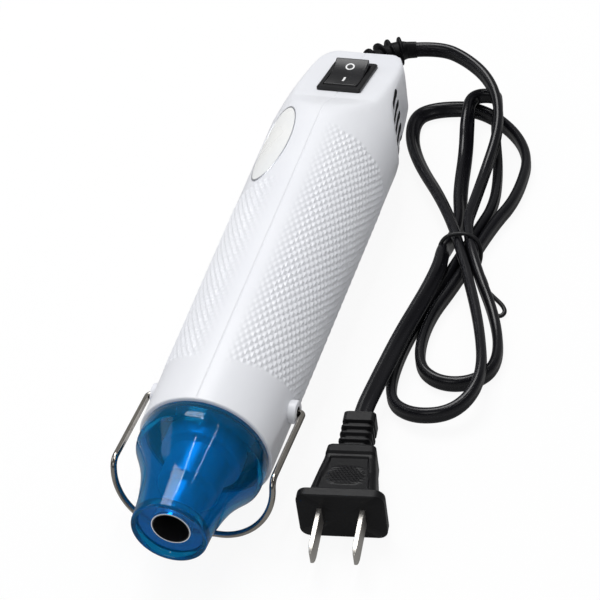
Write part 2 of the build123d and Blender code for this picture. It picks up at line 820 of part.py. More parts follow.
def make_lead_wires():
    """The wires from the cord to the switch and the board, and from the switch to the board."""
    start_x = rear_x + wall + boot_flange_length + 2 * running_clearance + inner_cord_length
    start_z = boot_z - lead_offset
    back_x = board_x - board_thickness
    frame = switch_frame()
    tap = blade_spread + blade_gauge / 2
    tap_z = -switch_depth - blade_drop * 2 / 3
    rear_tap = [frame.from_local_coords((-tap - lead_run * share, 0, tap_z)) for share in (1, 0)]
    front_tap = [frame.from_local_coords((tap + lead_run * share, 0, tap_z)) for share in (0, 1)]
    low_z = axis_z - lead_drop
    high_z = axis_z + lead_rise
    return Compound(children=[
        lead_wire([(start_x, lead_offset, start_z), (start_x + lead_run, lead_offset, start_z)] + rear_tap),
        lead_wire([(start_x, -lead_offset, start_z), (start_x + lead_run, -lead_offset, start_z),
                   (start_x + lead_run + lead_turn, -lead_spread, low_z), (back_x, -lead_spread, low_z)]),
        lead_wire(front_tap + [(back_x - lead_turn, lead_spread, high_z), (back_x, lead_spread, high_z)]),
    ])


def make_board():
    """The rectifier board behind the motor, with its four diodes."""
    half = board_width / 2
    board = block(board_x - board_thickness, board_x, -half, half, axis_z - board_length / 2,
                  axis_z + board_length / 2)
    for side in (-1, 1):
        gap = running_clearance
        board -= block(board_x - overrun, board_x + overrun, side * tab_offset - tab_thickness / 2 - gap,
                       side * tab_offset + tab_thickness / 2 + gap, axis_z - tab_width / 2 - gap,
                       axis_z + tab_width / 2 + gap)
    diodes = []
    for index in range(4):
        z = axis_z + (index - 1.5) * diode_pitch
        x = board_x - board_thickness - diode_radius - running_clearance
        diodes.append(cross_rod(x, -diode_length / 2, diode_length / 2, diode_radius, z))
    return board, Compound(children=diodes)


def make_inner_cord():
    """The stripped end of the cord inside the boot, up to the clamp."""
    start = rear_x + wall + boot_flange_length + 2 * running_clearance
    return rod(start, start + inner_cord_length, inner_cord_radius, boot_z)


def level(share):
    """Height of the cord's centre on a layer of the hank."""
    return cord_low_z + level_step * share


def hank_point(along, across, layer):
    """A point of the hank, from its waist, along and across its own axis."""
    lean = math.radians(hank_lean)
    x = waist_x + along * math.cos(lean) - across * math.sin(lean)
    y = waist_y + along * math.sin(lean) + across * math.cos(lean)
    return Vector(x, y, level(layer))


def hank_way(heading):
    """A level direction, from the hank's axis."""
    angle = math.radians(hank_lean + heading)
    return Vector(math.cos(angle), math.sin(angle), 0)


# Hank: two loops go out through the waist to the front and two to the rear. Each row is a place
# on the way: along and across the hank, the layer it lies on, and the heading from the hank's axis.
hank_reach = 76.0
waist_step = 5.6
waist_lift = 2 * tie_radius + cord_gap
waist_half = 8.0
hank_row_shares = (
    (-0.31, 0.7, 1, -10.5), (0, 0.53, 1, 11),
    (0.64, 2.36, 0, 4), (0.815, 0.14, 0, -90), (0.64, -2.02, 0, 176),
    (0, 1.14, 0, 160),
    (-0.513, 3.25, 0, 172), (-1, -1.79, 0, -92), (-0.868, -3.8, 0, 4),
    (0, -0.52, 1, 14),
    (0.763, 1.43, 1, 4), (0.974, -1.21, 0.7, -90), (0.763, -3.75, 0, 176),
    (0, 0.035, 0, 159),
    (-0.42, 1.64, 0, 178), (-0.868, 1.25, 1, 182), (-1.013, 1.125, 1, 180), (-1.013, -0.555, 1, 0),
    (-0.553, -0.82, 0, -2), (0, -1.055, 0, -22), (0.237, -2.46, 0.15, -24),
)


def hank_nodes():
    """Points and directions of the whole hank, in the order the cord runs."""
    nodes = []
    for along, across, layer, heading in hank_row_shares:
        place = hank_point(hank_reach * along, waist_step * across, layer)
        near_waist = max(1 - abs(hank_reach * along) / (6 * waist_half), 0)
        lift = waist_lift * near_waist
        nodes.append((place + Vector(0, 0, lift), hank_way(heading)))
    return nodes


def hank_edges():
    """Biarcs through the hank's nodes, with a straight diameter at each end."""
    nodes = hank_nodes()
    first, first_way = nodes[0]
    last, last_way = nodes[-1]
    edges = [Line(first - first_way * cord_diameter, first)]
    for (a, a_way), (b, b_way) in zip(nodes, nodes[1:]):
        edges += biarc(a, a_way, b, b_way)
    edges.append(Line(last, last + last_way * cord_diameter))
    return edges


def least_gap(edges, radius):
    """Least gap of the tube to itself, measured on points along it."""
    points = []
    travelled = 0
    for edge in edges:
        count = max(int(edge.length / radius), 1)
        for index in range(count):
            points.append((travelled + edge.length * index / count, edge @ (index / count)))
        travelled += edge.length
    near = 4 * cord_diameter
    gaps = []
    for index, (place, point) in enumerate(points):
        for other_place, other in points[index + 1:]:
            if other_place - place > near:
                gaps.append((other - point).length - 2 * radius)
    return min(gaps), travelled


def route_radii(points):
    """Radius of each corner of a plain tube: 0.45 of the shorter run over the half turn's tangent."""
    radii = []
    for before, corner, after in zip(points, points[1:], points[2:]):
        one = Vector(*corner) - Vector(*before)
        two = Vector(*after) - Vector(*corner)
        half_turn = math.radians(one.get_angle(two)) / 2
        radii.append(0.45 * min(one.length, two.length) / math.tan(half_turn))
    return radii


def plain_tube(points, name):
    """A tube of straight runs and tangent arcs, whose radii are printed."""
    radii = route_radii(points)
    print(name, "radii", [round(radius, 1) for radius in radii])
    path = FilletPolyline(*points, radius=radii)
    section = Plane(origin=points[0], z_dir=path % 0) * Circle(cord_diameter / 2)
    tube = sweep(section, path=path)
    area = math.pi * cord_diameter ** 2 / 4
    print(name, "length", round(path.length, 1), "volume share", round(tube.volume / (area * path.length), 4))
    return tube, path.length


# The cord from the boot to the hank, and from the hank to the plug, point by point
lead_route = [
    (-122.2, 31.2, 20.0), (-115.8, 40.2, 17.6), (-105.8, 46.2, 14.9), (-92.4, 49.0, 11.6),
]
tail_route = [
    (6.6, 32.6, 2.4), (19.6, 32.3, 3.6),
]
end_run = 8.8


def plug_point(ahead, aside, z):
    """A point of the plug, from the tip of its relief, along and across its own axis."""
    turn = math.radians(plug_heading)
    x = plug_tip_x + ahead * math.cos(turn) - aside * math.sin(turn)
    y = plug_tip_y + ahead * math.sin(turn) + aside * math.cos(turn)
    return Vector(x, y, z)


def plug_section(ahead, width, height, corner):
    """A rounded section square to the plug's axis."""
    turn = math.radians(plug_heading)
    plane = Plane(origin=plug_point(ahead, 0, flange_height / 2), x_dir=(-math.sin(turn), math.cos(turn), 0),
                  z_dir=(math.cos(turn), math.sin(turn), 0))
    return plane * RectangleRounded(width, height, corner)


def make_plug():
    """The moulded plug: ribbed relief, tapered body with a grip hollow, flange; and its two blades."""
    corner = plug_relief_height / 4
    relief = extrude(plug_section(0, plug_relief_width, plug_relief_height, corner), amount=plug_relief_length)
    pitch = plug_relief_length / (plug_rib_count + 0.5)
    for index in range(plug_rib_count):
        start = pitch * (index + 0.75)
        ring = extrude(plug_section(start, 2 * plug_relief_width, 2 * plug_relief_height, corner),
                       amount=plug_rib_gap)
        core = extrude(plug_section(start, plug_relief_width - 2 * plug_rib_depth,
                                    plug_relief_height - 2 * plug_rib_depth, corner - plug_rib_depth / 2),
                       amount=plug_rib_gap)
        relief -= ring - core
    body_end = plug_relief_length + plug_body_length
    shoulder = plug_section(plug_relief_length, plug_back_width, plug_back_height, corner)
    front = plug_section(body_end, flange_width - 2 * corner, flange_height - corner, corner)
    body = loft([shoulder, front], ruled=True)
    flange = extrude(plug_section(body_end, flange_width, flange_height, flange_round), amount=flange_thickness)
    plug = relief + body + flange
    middle = plug_relief_length + plug_body_length / 2
    for side in (-1, 1):
        z = flange_height / 2 + side * (plug_back_height + flange_height - corner) / 4
        hollow = Rot(0, 0, plug_heading) * Box(grip_length, grip_length, 2 * grip_depth)
        place = plug_point(middle, 0, z)
        plug -= Pos(place.X, place.Y, place.Z) * hollow
    blades = []
    start = body_end + flange_thickness
    for side in (-1, 1):
        place = plug_point(start + pin_length / 2, side * pin_spacing / 2, flange_height / 2)
        blade = Box(pin_length, pin_gauge, pin_width)
        blade = chamfer(blade.faces().sort_by(Axis.X)[-1].edges().filter_by(Axis.Z), pin_gauge / 3)
        blades.append(Pos(place.X, place.Y, place.Z) * (Rot(0, 0, plug_heading) * blade))
    return plug, Compound(children=blades)


def make_tie():
    """The thin tie round the hank's waist, lying under its lower turns."""
    lean = math.radians(hank_lean)
    across = Vector(-math.sin(lean), math.cos(lean), 0)
    centre = Vector(waist_x, waist_y, tie_radius + tie_height / 2)
    half = tie_width / 2
    plane = Plane(origin=centre, x_dir=across, z_dir=(math.cos(lean), math.sin(lean), 0))
    ring = plane * RectangleRounded(2 * half, tie_height, tie_corner)
    path = ring.wires()[0]
    section = Plane(origin=path @ 0, z_dir=path % 0) * Circle(tie_radius)
    return sweep(section, path=path)


def make_sticker():
    """The blank oval sticker on the left flank, bent to the handle."""
    outer = loft([disc(shoulder_x, handle_radius(shoulder_x) + sticker_thickness, shoulder_z),
                  disc(ring_x, ring_radius + sticker_thickness, axis_z)], ruled=True)
    inner = loft([disc(shoulder_x, handle_radius(shoulder_x) + running_clearance, shoulder_z),
                  disc(ring_x, ring_radius + running_clearance, axis_z)], ruled=True)
    oval = Ellipse(sticker_length / 2, sticker_width / 2)
    column = Pos(sticker_x, 0, shoulder_z) * extrude(oval, amount=overrun / 2)
    column = column.rotate(Axis((0, 0, shoulder_z), (1, 0, 0)), sticker_turn)
    return (outer - inner) & column


left, right = make_housing()
save(left, "housing_left")
save(right, "housing_right")
save(make_screws(), "housing_screws")
save(make_guard(), "nozzle_guard")
save(make_outlet_tube(), "nozzle_tube")
save(make_sleeve(), "mica_sleeve")
save(make_former(), "heater_former")
save(make_coil(), "heater_coil")
save(make_fuse(), "thermal_fuse")
save(make_front_ring(), "front_ring")
can, cap, magnets, tabs = make_motor()
save(can, "motor_can")
save(cap, "motor_cap")
save(magnets, "motor_magnets")
save(tabs, "motor_terminals")
shaft, armature, wheel = make_rotor()
save(shaft, "motor_shaft")
save(armature, "motor_armature")
save(wheel, "fan_impeller")
save(make_shroud(), "fan_shroud")
switch_body, terminals = make_switch()
save(switch_body, "switch_body")
save(terminals, "switch_terminals")
save(make_rocker(), "rocker")
save(make_wire_stand(), "bail_wire")
save(make_boot(), "strain_relief")
bar, clamp_screws = make_cord_clamp()
save(bar, "cord_clamp")
save(clamp_screws, "clamp_screws")
board, diodes = make_board()
save(board, "rectifier_board")
save(diodes, "rectifier_diodes")
save(make_inner_cord(), "inner_cord")
save(make_lead_wires(), "lead_wires")
save(make_sticker(), "label_plate")
plug, blades = make_plug()
save(plug, "plug_body")
save(blades, "plug_blades")
save(make_tie(), "cord_tie")

edges = hank_edges()
gap, hank_length = least_gap(edges, cord_diameter / 2)
print("hank length", round(hank_length, 1), "least gap", round(gap, 2))
save(swept_tube(edges, cord_diameter / 2), "cord_hank")
boot_tip, boot_way = boot_station(boot_length())
nodes = hank_nodes()
hank_tip = nodes[0][0] - nodes[0][1] * cord_diameter
lead_points = [boot_tip, boot_tip + boot_way * end_run] + lead_route
lead_points += [hank_tip - nodes[0][1] * end_run, hank_tip]
lead, lead_length = plain_tube([tuple(point) for point in lead_points], "lead")
save(lead, "cord_lead")
hank_out = nodes[-1][0] + nodes[-1][1] * cord_diameter
plug_in = plug_point(0, 0, flange_height / 2)
tail_points = [hank_out, hank_out + nodes[-1][1] * end_run] + tail_route
tail_points += [plug_point(-end_run, 0, flange_height / 2), plug_in]
tail, tail_cord_length = plain_tube([tuple(point) for point in tail_points], "tail")
save(tail, "cord_tail")
print("cord length", round(lead_length + hank_length + tail_cord_length, 1))
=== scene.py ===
import math

import bmesh
import bpy
import numpy as np
from mathutils import Matrix


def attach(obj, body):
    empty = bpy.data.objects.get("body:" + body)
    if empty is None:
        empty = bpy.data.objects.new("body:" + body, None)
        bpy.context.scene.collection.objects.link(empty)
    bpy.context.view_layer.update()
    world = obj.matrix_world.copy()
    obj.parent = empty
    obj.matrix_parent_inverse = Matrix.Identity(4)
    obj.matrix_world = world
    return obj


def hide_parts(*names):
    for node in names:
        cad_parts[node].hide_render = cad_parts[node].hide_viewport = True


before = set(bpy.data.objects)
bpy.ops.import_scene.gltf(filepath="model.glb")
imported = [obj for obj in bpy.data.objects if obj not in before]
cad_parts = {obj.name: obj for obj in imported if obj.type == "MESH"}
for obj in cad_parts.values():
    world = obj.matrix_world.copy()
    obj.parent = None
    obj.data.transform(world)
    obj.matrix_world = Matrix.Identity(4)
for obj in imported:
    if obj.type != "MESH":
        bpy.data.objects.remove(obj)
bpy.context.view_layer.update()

scene = bpy.context.scene

# Studio: the camera stands in front of the mouth, above the switch side, with a long lens.
# The floor and the backdrop show white to the camera and still take the tool's soft shadow.
MM = 0.001
camera_data = bpy.data.cameras.new("camera")
camera_data.lens = 150
camera_data.sensor_width = 36
camera_data.clip_start = 0.01
camera_data.clip_end = 20
camera = bpy.data.objects.new("camera", camera_data)
camera.matrix_world = Matrix((
    (-0.2803, -0.6616, 0.6955, 0.54815),
    (0.9531, -0.1056, 0.2837, 0.2299),
    (-0.1143, 0.7424, 0.6602, 0.5339),
    (0, 0, 0, 1),
))
scene.collection.objects.link(camera)
scene.camera = camera
scene.view_settings.view_transform = "Standard"


def new_finish(name, colour, roughness, metallic=0.0, **sockets):
    """A material whose shader carries its plain values; gives the material, its tree and its shader."""
    finish = bpy.data.materials.new(name)
    finish.use_nodes = True
    tree = finish.node_tree
    shader = tree.nodes["Principled BSDF"]
    shader.inputs["Base Color"].default_value = (*colour, 1)
    shader.inputs["Roughness"].default_value = roughness
    shader.inputs["Metallic"].default_value = metallic
    for socket, value in sockets.items():
        shader.inputs[socket.replace("_", " ")].default_value = value
    return finish, tree, shader


def add(tree, kind, joins=None, **values):
    """A node in a tree, with its own values set and other nodes' outputs joined to its inputs."""
    node = tree.nodes.new("ShaderNode" + kind)
    for key, value in values.items():
        setattr(node, key, value)
    for socket, source in (joins or {}).items():
        if hasattr(source, "is_output"):
            tree.links.new(source, node.inputs[socket])
        else:
            node.inputs[socket].default_value = source
    return node


def join(tree, source, shader, socket):
    """Joins an output to one of the shader's inputs."""
    tree.links.new(source, shader.inputs[socket])


def lamp(name, place, length, width, power):
    """A soft lamp at a place, aimed at the tool; its length runs along the tool."""
    data = bpy.data.lights.new(name, "AREA")
    data.shape = "RECTANGLE"
    data.size = length
    data.size_y = width
    data.energy = power
    holder = bpy.data.objects.new(name, data)
    back = np.array(place) / np.linalg.norm(place)
    side = np.cross((0, 1, 0), back)
    side = side / np.linalg.norm(side)
    rise = np.cross(back, side)
    rows = [[side[i], rise[i], back[i], place[i]] for i in range(3)]
    holder.matrix_world = Matrix((*rows, (0, 0, 0, 1)))
    scene.collection.objects.link(holder)


lamp("lamp_key", (-0.5, -0.3, 1.15), 0.6, 0.6, 8.6)
lamp("lamp_front", (1.2, -0.2, 0.7), 0.6, 0.6, 1.6)
lamp("lamp_left", (0.2, -1.1, 0.8), 0.8, 0.5, 1.6)
lamp("lamp_strip", (-0.1, 0.0, 1.3), 1.0, 0.03, 2.4)
lamp("lamp_strip_right", (0.1, 0.6, 1.15), 0.9, 0.025, 1.4)


def blend_value(tree, share, low, high, edges=(0, 1)):
    """An output that goes from low to high as a share goes from its first edge to its second."""
    node = add(tree, "MapRange", {"Value": share, "From Min": edges[0], "From Max": edges[1],
                                  "To Min": low, "To Max": high})
    return node.outputs["Result"]


def blend_colour(tree, share, first, second):
    """An output that goes from the first colour to the second as a share goes from 0 to 1."""
    return add(tree, "Mix", {0: share, 6: first, 7: second}, data_type="RGBA").outputs[2]


sky_level = 0.36
sky_mirrored = 0.1
paper_mirrored = 0.25
paper_white = 0.92
world = bpy.data.worlds.new("studio")
scene.world = world
world.use_nodes = True
tree = world.node_tree
sky = tree.nodes["Background"]
sky.inputs["Color"].default_value = (0.97, 0.98, 1, 1)
ray = add(tree, "LightPath").outputs
level = blend_value(tree, ray["Is Glossy Ray"], sky_level, sky_mirrored)
tree.links.new(blend_value(tree, ray["Is Camera Ray"], level, 1.0), sky.inputs["Strength"])

paper, tree, shader = new_finish("studio_paper", (0.9, 0.9, 0.9), 0.9)
speckle = add(tree, "TexNoise", {"Scale": 40.0, "Detail": 3.0}).outputs["Fac"]
join(tree, blend_value(tree, speckle, 0.88, 0.92), shader, "Base Color")
ray = add(tree, "LightPath").outputs
seen = add(tree, "Math", {0: ray["Is Camera Ray"], 1: ray["Is Transmission Ray"]}, operation="ADD").outputs[0]
seen = add(tree, "Math", {0: seen, 1: ray["Is Glossy Ray"]}, operation="ADD", use_clamp=True).outputs[0]
share = add(tree, "Math", {0: seen, 1: paper_white}, operation="MULTIPLY").outputs[0]
glow = blend_value(tree, ray["Is Glossy Ray"], 1.0, paper_mirrored)
white = add(tree, "Emission", {"Color": (1, 1, 1, 1), "Strength": glow})
both = add(tree, "MixShader", {0: share, 1: shader.outputs["BSDF"], 2: white.outputs["Emission"]})
tree.links.new(both.outputs[0], tree.nodes["Material Output"].inputs["Surface"])


def grid_quads(rows, columns, closed=False):
    """Corner numbers of every four-sided face of a grid stored row by row."""
    row = np.arange(rows - 1)[:, None]
    column = np.arange(columns if closed else columns - 1)[None, :]
    ahead = (column + 1) % columns
    corners = [row * columns + column, row * columns + ahead,
               (row + 1) * columns + ahead, (row + 1) * columns + column]
    return np.stack(np.broadcast_arrays(*corners), -1).reshape(-1, 4)


def closed_grid(rings):
    """A grid whose rows are closed rings, with its faces."""
    return rings, grid_quads(*rings.shape[:2], closed=True)


def capped(rings, first, last):
    """Rings with each end drawn in to a point."""
    ends = [np.broadcast_to(point, rings[:1].shape) for point in (first, last)]
    return np.concatenate([ends[0], rings, ends[1]])


def full_turn(count):
    """Angles of one full turn in even steps."""
    return np.linspace(0, 2 * math.pi, count, endpoint=False)


def unit_circle(count):
    """Points of a circle of radius one in even steps."""
    turn = full_turn(count)
    return np.stack([np.cos(turn), np.sin(turn)], 1)


def smooth(mesh, crease):
    """Shades a mesh smooth but for edges sharper than the crease, in degrees."""
    mesh.polygons.foreach_set("use_smooth", [True] * len(mesh.polygons))
    mesh.set_sharp_from_angle(angle=math.radians(crease))


def skin(name, parts, finish, crease=38, turn_out=True):
    """A mesh object at the origin from grids in millimetres, seams and poles merged, faces outwards."""
    mesh = bpy.data.meshes.new(name)
    points = np.concatenate([part[0].reshape(-1, 3) for part in parts])
    starts = np.cumsum([0] + [part[0].reshape(-1, 3).shape[0] for part in parts[:-1]])
    quads = np.concatenate([part[1] + start for part, start in zip(parts, starts)])
    mesh.vertices.add(len(points))
    mesh.vertices.foreach_set("co", (points * MM).astype(np.float32).ravel())
    mesh.loops.add(quads.size)
    mesh.loops.foreach_set("vertex_index", quads.astype(np.int32).ravel())
    mesh.polygons.add(len(quads))
    mesh.polygons.foreach_set("loop_start", np.arange(0, quads.size, 4, dtype=np.int32))
    mesh.update(calc_edges=True)
    work = bmesh.new()
    work.from_mesh(mesh)
    bmesh.ops.remove_doubles(work, verts=work.verts, dist=2e-6)
    bmesh.ops.dissolve_degenerate(work, edges=work.edges, dist=1e-7)
    if turn_out:
        bmesh.ops.recalc_face_normals(work, faces=work.faces)
    work.to_mesh(mesh)
    work.free()
    smooth(mesh, crease)
    mesh.materials.append(finish)
    piece = bpy.data.objects.new(name, mesh)
    scene.collection.objects.link(piece)
    return piece


floor_near = 1100
floor_far = -1600
floor_bend = 500
floor_top = 2600
floor_half_width = 2200
floor_gap = 0.05
bend_turn = np.linspace(0.1, math.pi / 2, 12)
bend = np.stack([floor_far - floor_bend * np.sin(bend_turn), floor_bend - floor_bend * np.cos(bend_turn)], 1)
floor_line = np.concatenate([[(floor_near, 0), (floor_far, 0)], bend, [(floor_far - floor_bend, floor_top)]])
across = np.linspace(-floor_half_width, floor_half_width, 3)
sheet = np.stack(np.broadcast_arrays(floor_line[:, None, 0], across, floor_line[:, None, 1] - floor_gap), -1)
skin("studio_floor", [(sheet, grid_quads(len(floor_line), 3))], paper, turn_out=False)



def places_of(route):
    """A route in metres, from places given in tenths of a millimetre."""
    return [tuple(place) for place in (np.array(route) / 10000).tolist()]


# Mains cord: two copper cores in one flat black jacket, 5.6 by 3.4 mm, lying on its edge.
# It leaves the boot, folds into a hank of two loops each way round its waist, and ends in the plug.
cord_route = places_of([
    (-1234, 134, 215), (-1252, 220, 215), (-1222, 312, 200), (-1158, 402, 178), (-1058, 462, 154),
    (-924, 490, 126), (-739, 480, 86), (-594, 480, 86), (-491, 480, 86), (-292, 558, 86),
    (-111, 667, 29), (81, 717, 29), (174, 658, 29), (193, 554, 29), (127, 468, 29),
    (-72, 446, 29), (-285, 500, 29), (-550, 544, 29), (-720, 598, 29), (-975, 587, 29),
    (-1172, 382, 29), (-1146, 205, 29), (-1076, 144, 29), (-888, 193, 29), (-557, 404, 86),
    (-284, 529, 86), (-13, 640, 86), (210, 700, 86), (340, 645, 62), (362, 512, 45),
    (285, 412, 29), (50, 400, 29), (-276, 460, 29), (-518, 504, 29), (-659, 532, 29),
    (-853, 502, 29), (-987, 462, 78), (-1075, 450, 86), (-1130, 440, 86), (-1180, 425, 86),
    (-1165, 335, 86), (-1040, 352, 86), (-920, 372, 29), (-720, 400, 29), (-560, 440, 29),
    (-460, 430, 29), (-400, 430, 50), (-350, 437, 86), (-270, 446, 92), (-160, 437, 90),
    (-60, 422, 88), (60, 405, 88), (200, 392, 88), (320, 382, 88), (396, 377, 88),
    (456, 382, 88),
])


def route_line(name, route, steps):
    """Points of the smooth spline that a route's points control."""
    curve = bpy.data.curves.new(name, "CURVE")
    curve.dimensions = "3D"
    spline = curve.splines.new("NURBS")
    spline.points.add(len(route) - 1)
    for point, place in zip(spline.points, route):
        point.co = (*place, 1)
    spline.order_u = 3
    spline.use_endpoint_u = True
    spline.resolution_u = steps
    holder = bpy.data.objects.new(name, curve)
    line = bpy.data.meshes.new_from_object(holder)
    points = np.empty(3 * len(line.vertices), dtype=np.float32)
    line.vertices.foreach_get("co", points)
    bpy.data.objects.remove(holder)
    bpy.data.curves.remove(curve)
    bpy.data.meshes.remove(line)
    points = points.reshape(-1, 3).astype(float)
    moved = np.linalg.norm(np.diff(points, axis=0), axis=1) > 1e-6
    return points[np.concatenate([[True], moved])]


def upright_frames(line):
    """Directions at each point of a line: along it, level across it, and the third square to both."""
    along = np.gradient(line, axis=0)
    along /= np.linalg.norm(along, axis=1)[:, None]
    level = np.cross(along, (0, 0, 1))
    level /= np.linalg.norm(level, axis=1)[:, None]
    return along, level, np.cross(level, along)


def closed_tube(line, section, level, rise):
    """Grid of a section's (level, rise) points in millimetres along a line in metres, with closed ends."""
    rings = line[:, None] / MM + section[None, :, :1] * level[:, None] + section[None, :, 1:] * rise[:, None]
    return closed_grid(capped(rings, line[0] / MM, line[-1] / MM))


def carried(line, section, lean):
    """Grid of a section that stays upright along a line but for its lean round the line, in radians."""
    along, flat, up = upright_frames(line)
    turn = lean[:, None]
    level = flat * np.cos(turn) + up * np.sin(turn)
    rise = up * np.cos(turn) - flat * np.sin(turn)
    return closed_tube(line, section, level, rise)


def new_group(name, inputs, outputs):
    """A shader node group with named sockets; gives it, its given values and its results."""
    group = bpy.data.node_groups.new(name, "ShaderNodeTree")
    for label, kind, value in inputs:
        socket = group.interface.new_socket(label, in_out="INPUT", socket_type="NodeSocket" + kind)
        socket.default_value = value
    for label, kind in outputs:
        group.interface.new_socket(label, in_out="OUTPUT", socket_type="NodeSocket" + kind)
    return group, group.nodes.new("NodeGroupInput").outputs, group.nodes.new("NodeGroupOutput").inputs


def grain_group():
    """Fine moulded grain: a noise bump for the normal and a slow drift of the roughness."""
    group, given, results = new_group("moulded grain", (
        ("Scale", "Float", 900.0), ("Depth", "Float", 0.2), ("Rough Low", "Float", 0.3),
        ("Rough High", "Float", 0.4)), (("Roughness", "Float"), ("Normal", "Vector")))
    place = add(group, "TexCoord").outputs["Object"]
    fine = add(group, "TexNoise", {"Vector": place, "Scale": given["Scale"], "Detail": 4.0})
    slow = add(group, "TexNoise", {"Vector": place, "Scale": 60.0, "Detail": 2.0})
    rough = blend_value(group, slow.outputs["Fac"], given["Rough Low"], given["Rough High"], (0.3, 0.7))
    bump = add(group, "Bump", {"Height": fine.outputs["Fac"], "Strength": given["Depth"], "Distance": 0.0001})
    group.links.new(rough, results["Roughness"])
    group.links.new(bump.outputs["Normal"], results["Normal"])
    return group


def drift_group():
    """Slow colour drift: the colour a little darker or lighter by a soft noise."""
    group, given, results = new_group("colour drift", (
        ("Light", "Color", (1, 1, 1, 1)), ("Dark", "Color", (0, 0, 0, 1)), ("Scale", "Float", 40.0)),
        (("Color", "Color"),))
    place = add(group, "TexCoord").outputs["Object"]
    cloud = add(group, "TexNoise", {"Vector": place, "Scale": given["Scale"], "Detail": 5.0})
    share = blend_value(group, cloud.outputs["Fac"], 0.0, 1.0, (0.35, 0.65))
    group.links.new(blend_colour(group, share, given["Light"], given["Dark"]), results["Color"])
    return group


moulded_grain = grain_group()
colour_drift = drift_group()


def moulded(name, light, dark, rough_low, rough_high, grain=900.0, depth=0.2, drift=40.0, metallic=0.0,
            **sockets):
    """A finish with moulded grain and colour drift, and plain values on its shader's other sockets."""
    finish, tree, shader = new_finish(name, light, (rough_low + rough_high) / 2, metallic, **sockets)
    grained = add(tree, "Group", node_tree=moulded_grain)
    values = (("Scale", grain), ("Depth", depth), ("Rough Low", rough_low), ("Rough High", rough_high))
    for label, value in values:
        grained.inputs[label].default_value = value
    drifted = add(tree, "Group", node_tree=colour_drift)
    for label, value in (("Light", (*light, 1)), ("Dark", (*dark, 1)), ("Scale", drift)):
        drifted.inputs[label].default_value = value
    join(tree, grained.outputs["Roughness"], shader, "Roughness")
    join(tree, grained.outputs["Normal"], shader, "Normal")
    join(tree, drifted.outputs["Color"], shader, "Base Color")
    return finish, tree, shader


cord_jacket = moulded("cord_jacket", (0.006, 0.006, 0.008), (0.009, 0.009, 0.011), 0.18, 0.28, 700.0, 0.12,
                      25.0, Specular_IOR_Level=0.32)[0]

# The section is two round cores, one over the other, with the web between them drawn in. The cord
# stands on its edge and leans over where one strand lies across another and where it meets the plug.
core_spacing = 2.2
core_radius = 1.7
web_waist = 0.17
web_half_height = 0.55
lean_places = (19, 21, 23.5, 25, 40, 41.5, 43.5, 45, 48, 51, 55)
lean_degrees = (0, -40, -40, 0, 0, -45, -40, 0, -30, -50, -80)
around = full_turn(36)
rise = core_radius * np.sin(around) + core_spacing / 2 * np.tanh(2.4 * np.sin(around))
web = 1 - web_waist * np.exp(-(rise / web_half_height) ** 2)
cord_section = np.stack([core_radius * np.cos(around) * web, rise], 1)
cord_line = route_line("cord_line", cord_route, 14)
route_place = np.linspace(0, len(cord_route) - 1, len(cord_line))
cord_lean = np.radians(np.interp(route_place, lean_places, lean_degrees))
cord = skin("cord", [carried(cord_line, cord_section, cord_lean)], cord_jacket, 60)
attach(cord, "tool")
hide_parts("cord_lead", "cord_hank", "cord_tail")

# Cord boot: soft black rubber, pushed through the rear wall from inside, with five thin fins
# that let it bend. It is curved with the cord and hugs it at its tip.
rear_x = -109.05
boot_bend = 14.2
boot_turn = math.radians(78)
boot_tip_run = 2.2
boot_height = 21.5
boot_neck = 4.1
boot_tip = 3.2
boot_press = 0.4
fin_count = 5
fin_first = 2.0
fin_pitch = 3.5
fin_half = 0.7
fin_reach = 5.8
fin_shrink = 0.2
fin_flat = 0.3


def boot_places(distance):
    """Centre and direction of the boot at distances from the rear wall: an arc, then a short straight run."""
    turn = np.minimum(distance / boot_bend, boot_turn)
    straight = np.maximum(distance - boot_turn * boot_bend, 0)
    way = np.stack([-np.cos(turn), np.sin(turn), np.zeros_like(turn)], -1)
    centre = np.stack([rear_x - boot_bend * np.sin(turn), boot_bend * (1 - np.cos(turn)),
                       np.full_like(turn, boot_height)], -1) + straight[:, None] * way
    return centre, way


def boot_skin():
    """Rings round the boot's centre line; the radius is a taper plus a rounded fin at every 3.5 mm, each
    with two flats, turned a quarter from one fin to the next. The tip is pressed flat to hug the cord."""
    length = boot_turn * boot_bend + boot_tip_run
    distance = np.concatenate([[0], np.arange(0, length, 0.14), [length, length]])
    angle = full_turn(48)
    neck = boot_neck + (boot_tip - boot_neck) * distance / length
    radius = np.repeat(neck[:, None], len(angle), 1)
    for fin in range(fin_count):
        middle = fin_first + fin_pitch * fin
        edge = np.clip(1 - (np.abs(distance - middle) / fin_half) ** 3, 0, 1) ** 0.6
        reach = fin_reach - fin_shrink * fin
        flats = 1 - fin_flat * np.exp(-((np.sin(angle + (fin % 2) * math.pi / 2)) / 0.28) ** 2)
        radius = np.maximum(radius, neck[:, None] + edge[:, None] * (reach * flats[None] - neck[:, None]))
    radius[0] = radius[-1] = 0
    centre, way = boot_places(distance)
    past_fins = fin_first + fin_pitch * (fin_count - 1) + fin_half
    squeeze = 1 - boot_press * np.clip((distance - past_fins) / 1.6, 0, 1)[:, None, None]
    level = np.cross(way, (0, 0, 1))[:, None] * squeeze
    rings = centre[:, None] + radius[..., None] * (
        np.cos(angle)[None, :, None] * level + np.sin(angle)[None, :, None] * np.array((0, 0, 1.0)))
    return closed_grid(rings)


boot_rubber = moulded("boot_rubber", (0.004, 0.004, 0.005), (0.007, 0.007, 0.008), 0.35, 0.5, 1200.0, 0.25,
                      Specular_IOR_Level=0.18)[0]


